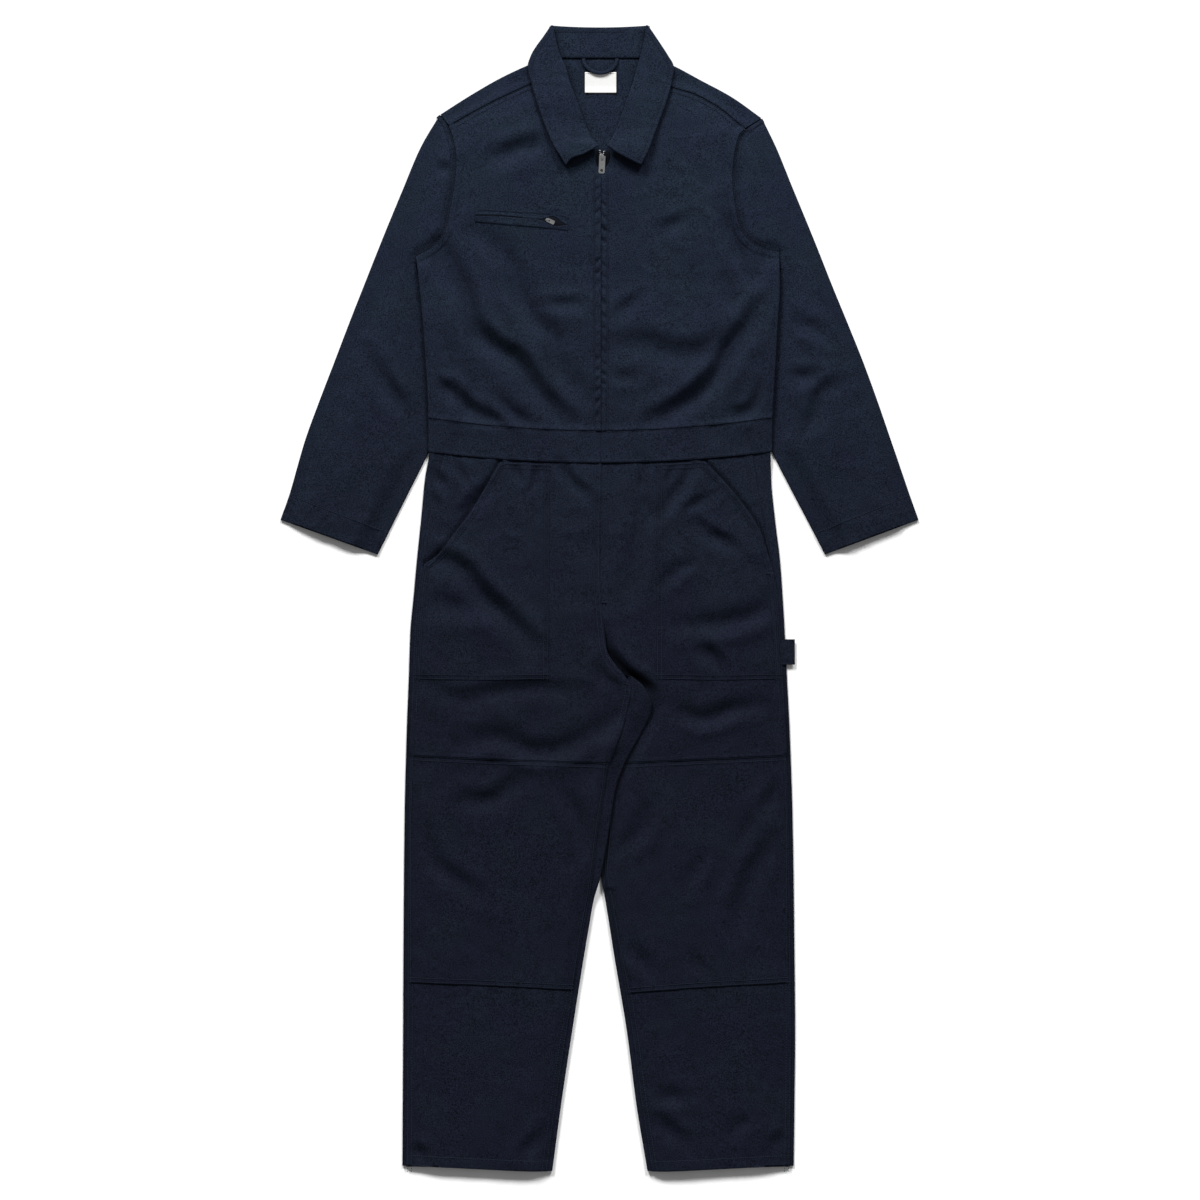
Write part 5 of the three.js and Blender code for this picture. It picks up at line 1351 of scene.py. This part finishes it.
def bartack(a, b, height):
    """A dense bar of thread between two places."""
    a, b = np.array(a, float), np.array(b, float)
    count = int(np.linalg.norm(b - a) / 0.7)
    spots = mix(a, b, np.linspace(0, 1, count)[:, None])
    side = np.array([-(b - a)[1], (b - a)[0]]) / np.linalg.norm(b - a)
    z = height(spots[:, 0], spots[:, 1]) + 0.25
    stitch_centres.append(np.column_stack([spots, z]))
    stitch_ways.append(np.tile([side[0], side[1], 0], (count, 1)))
    stitch_sizes.append(np.tile([1.3, 0.3, 0.25], (count, 1)))


for side, sign in SIDES:
    seam_top, band_top = raised(top_torso, 0.35), raised(top_torso, BAND + 0.1)
    armhole_top, leg_top = raised(top_torso, 0.4), raised(top_leg[side], 0.3)
    for by in (1.5, 7.0):
        stitch(beside(shoulder_seams[side], -sign * by), seam_top)
        stitch(beside(armholes[side], sign * by)[6:], armhole_top)
    placket_row = down(lambda y: FRONT + sign * PLACKET + 0 * y, PLACKET_TOP, PLACKET_FOOT)
    stitch(placket_row, raised(top_torso, 0.1), 3.0)
    band = waist_ends[side] - sign * 3, FRONT + sign * 2
    stitch(across(*band, lambda x: waist_top(x) - 1.5), band_top, 3.0)
    stitch(across(*band, lambda x: waist_foot(x) + 1.5), band_top, 3.0)
    inseam = inseams[side][inseams[side][:, 1] < CROTCH - 4]
    for path, inward in ((side_paths[side], -sign), (inseam, sign)):
        for by in (1.6, 7.2):
            stitch(beside(path, inward * by), leg_top)
    hem = across(side_paths[side][-1, 0], inseam[-1, 0], lambda x: hem_y(x) + 14)
    stitch(hem, top_leg[side], 3.0)

rise_path = inseams["left"][inseams["left"][:, 1] > CROTCH + 14]
for by in (1.6, 7.6):
    stitch(beside(rise_path, -by), raised(top_left, 0.35), 3.0)

for name, edges in pocket_paths.items():
    hip = name in POCKET_DROPS
    height = raised(top_leg[POCKET_EDGES[name]["side"]], 0.97 if hip else 1.4)
    for key, inward in (("top", -1), ("bottom", 1), ("left", 1), ("right", -1)):
        rows = (1.6, 7.0) if hip or key in ("top", "bottom") else (1.6,)
        for by in rows:
            stitch(beside(edges[key], inward * by), height, 3.1)

BARTACKS = [
    (top_left, 1.1, (-236, 44), (-226, 53)),
    (top_left, 1.1, (-139, 181), (-132, 184)),
    (top_right, 1.1, (231, 34), (240, 34)),
    (top_left, 0.6, (3, -6), (9, -6)),
]
for height, extra, start, end in BARTACKS:
    bartack(start, end, raised(height, extra))

for side, sign in SIDES:
    height = raised(top_collar(side), 0.15)
    stitch(beside(spline(COLLAR[side]["edge"], 3), -sign * 5.5)[3:-2], height, 3.0)
    stitch(beside(spline(COLLAR[side]["front"], 3), -sign * 5.5)[1:-1], height, 3.0)
for level in (752, 780.8):
    stitch(across(-60, 60, lambda x: level + 0 * x), lambda x, y: 3.35 + 0 * x, 3.2)

WELT_ROWS = [
    [(-166, 535), (-119, 532), (-71, 529), (-47, 525.5)],
    [(-171, 519.5), (-119, 514.6), (-76, 511), (-47, 508)],
]
for row in WELT_ROWS:
    stitch(spline(row, 3), raised(top_torso, 0.85), 2.7, 1.0, 0.28)


def cuff_top(hem_line):
    """Height of a flattened cuff between the two ends of its row of stitching."""
    def at(x, y):
        from_outer, from_inner = (np.hypot(x - end[0], y - end[1]) for end in hem_line)
        swell = CROWN * ramp(from_outer, SWELL) * ramp(from_inner, 40)
        waves = ramp(from_outer - 5, 20) * (fold_depth(x, y) + crumple(x, y))
        return LAYER + CLOTH + np.maximum(swell + waves * ramp(from_inner - 4, 40), 0) + 0.5

    return at


for side, sign in SIDES:
    outer, inner = points(SLEEVE_OUTER[side]), points(SLEEVE_INNER[side])
    hem_line = np.array([mix(outer[0], outer[1], 0.96) + [sign * -3, 0],
                         mix(inner[0], inner[1], 0.96) + [sign * 3, 0]])
    stitch(hem_line, cuff_top(hem_line), 3.0)
stitch([(-18.5, 723.3), (21.5, 723.3)], raised(back_top, 1.25), 2.6, 0.9, 0.25)

all_stitches = boxes(np.vstack(stitch_centres), np.vstack(stitch_ways), np.vstack(stitch_sizes))
make("stitching", all_stitches, thread)

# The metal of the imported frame, with softened edges
for node in ("front_zip_slider", "front_zip_pull", "chest_zip_slider", "chest_zip_pull"):
    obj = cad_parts[node]
    obj.data.materials.clear()
    obj.data.materials.append(metal)
    bevel = obj.modifiers.new("soft_edges", "BEVEL")
    bevel.width = 0.00022
    bevel.segments = 2
    bevel.limit_method = "ANGLE"
    bevel.angle_limit = math.radians(35)

# Floor, light and camera
HALF = 14.0  # of the floor's width, in metres
floor_corners = [(-HALF, -HALF, 0), (HALF, -HALF, 0), (HALF, HALF, 0), (-HALF, HALF, 0)]
floor_mesh = bpy.data.meshes.new("floor")
floor_mesh.from_pydata(floor_corners, [], [(0, 1, 2, 3)])
floor_mesh.materials.append(floor_pale)
floor = bpy.data.objects.new("floor", floor_mesh)
bpy.context.scene.collection.objects.link(floor)


def sun_light(name, side, elevation, strength):
    """Soft even light from beyond the collar; side is its angle from that, in degrees."""
    light = bpy.data.lights.new(name, "SUN")
    light.energy = strength
    light.angle = math.radians(16)
    obj = bpy.data.objects.new(name, light)
    a, e = math.radians(side), math.radians(elevation)
    way = Vector((math.sin(a) * math.cos(e), math.cos(a) * math.cos(e), math.sin(e)))
    obj.rotation_euler = way.to_track_quat("Z", "Y").to_euler()
    bpy.context.scene.collection.objects.link(obj)


sun_light("key", -24, 30, 3.5)
sun_light("second", 22, 33, 2.45)
world = bpy.data.worlds.new("studio")
world.use_nodes = True
world.node_tree.nodes["Background"].inputs["Color"].default_value = (1, 1, 1, 1)
world.node_tree.nodes["Background"].inputs["Strength"].default_value = 0.2
bpy.context.scene.world = world
bpy.context.scene.view_settings.view_transform = "Standard"

CAMERA_HEIGHT = 5.0
FIELD = 1.656  # width of the photo's frame at the floor, in metres
camera_data = bpy.data.cameras.new("camera")
camera_data.sensor_width = 36
camera_data.lens = 36 * CAMERA_HEIGHT / FIELD
camera_data.clip_end = 50
camera = bpy.data.objects.new("camera", camera_data)
camera.location = (0.0007, -0.0028, CAMERA_HEIGHT)
bpy.context.scene.collection.objects.link(camera)
bpy.context.scene.camera = camera
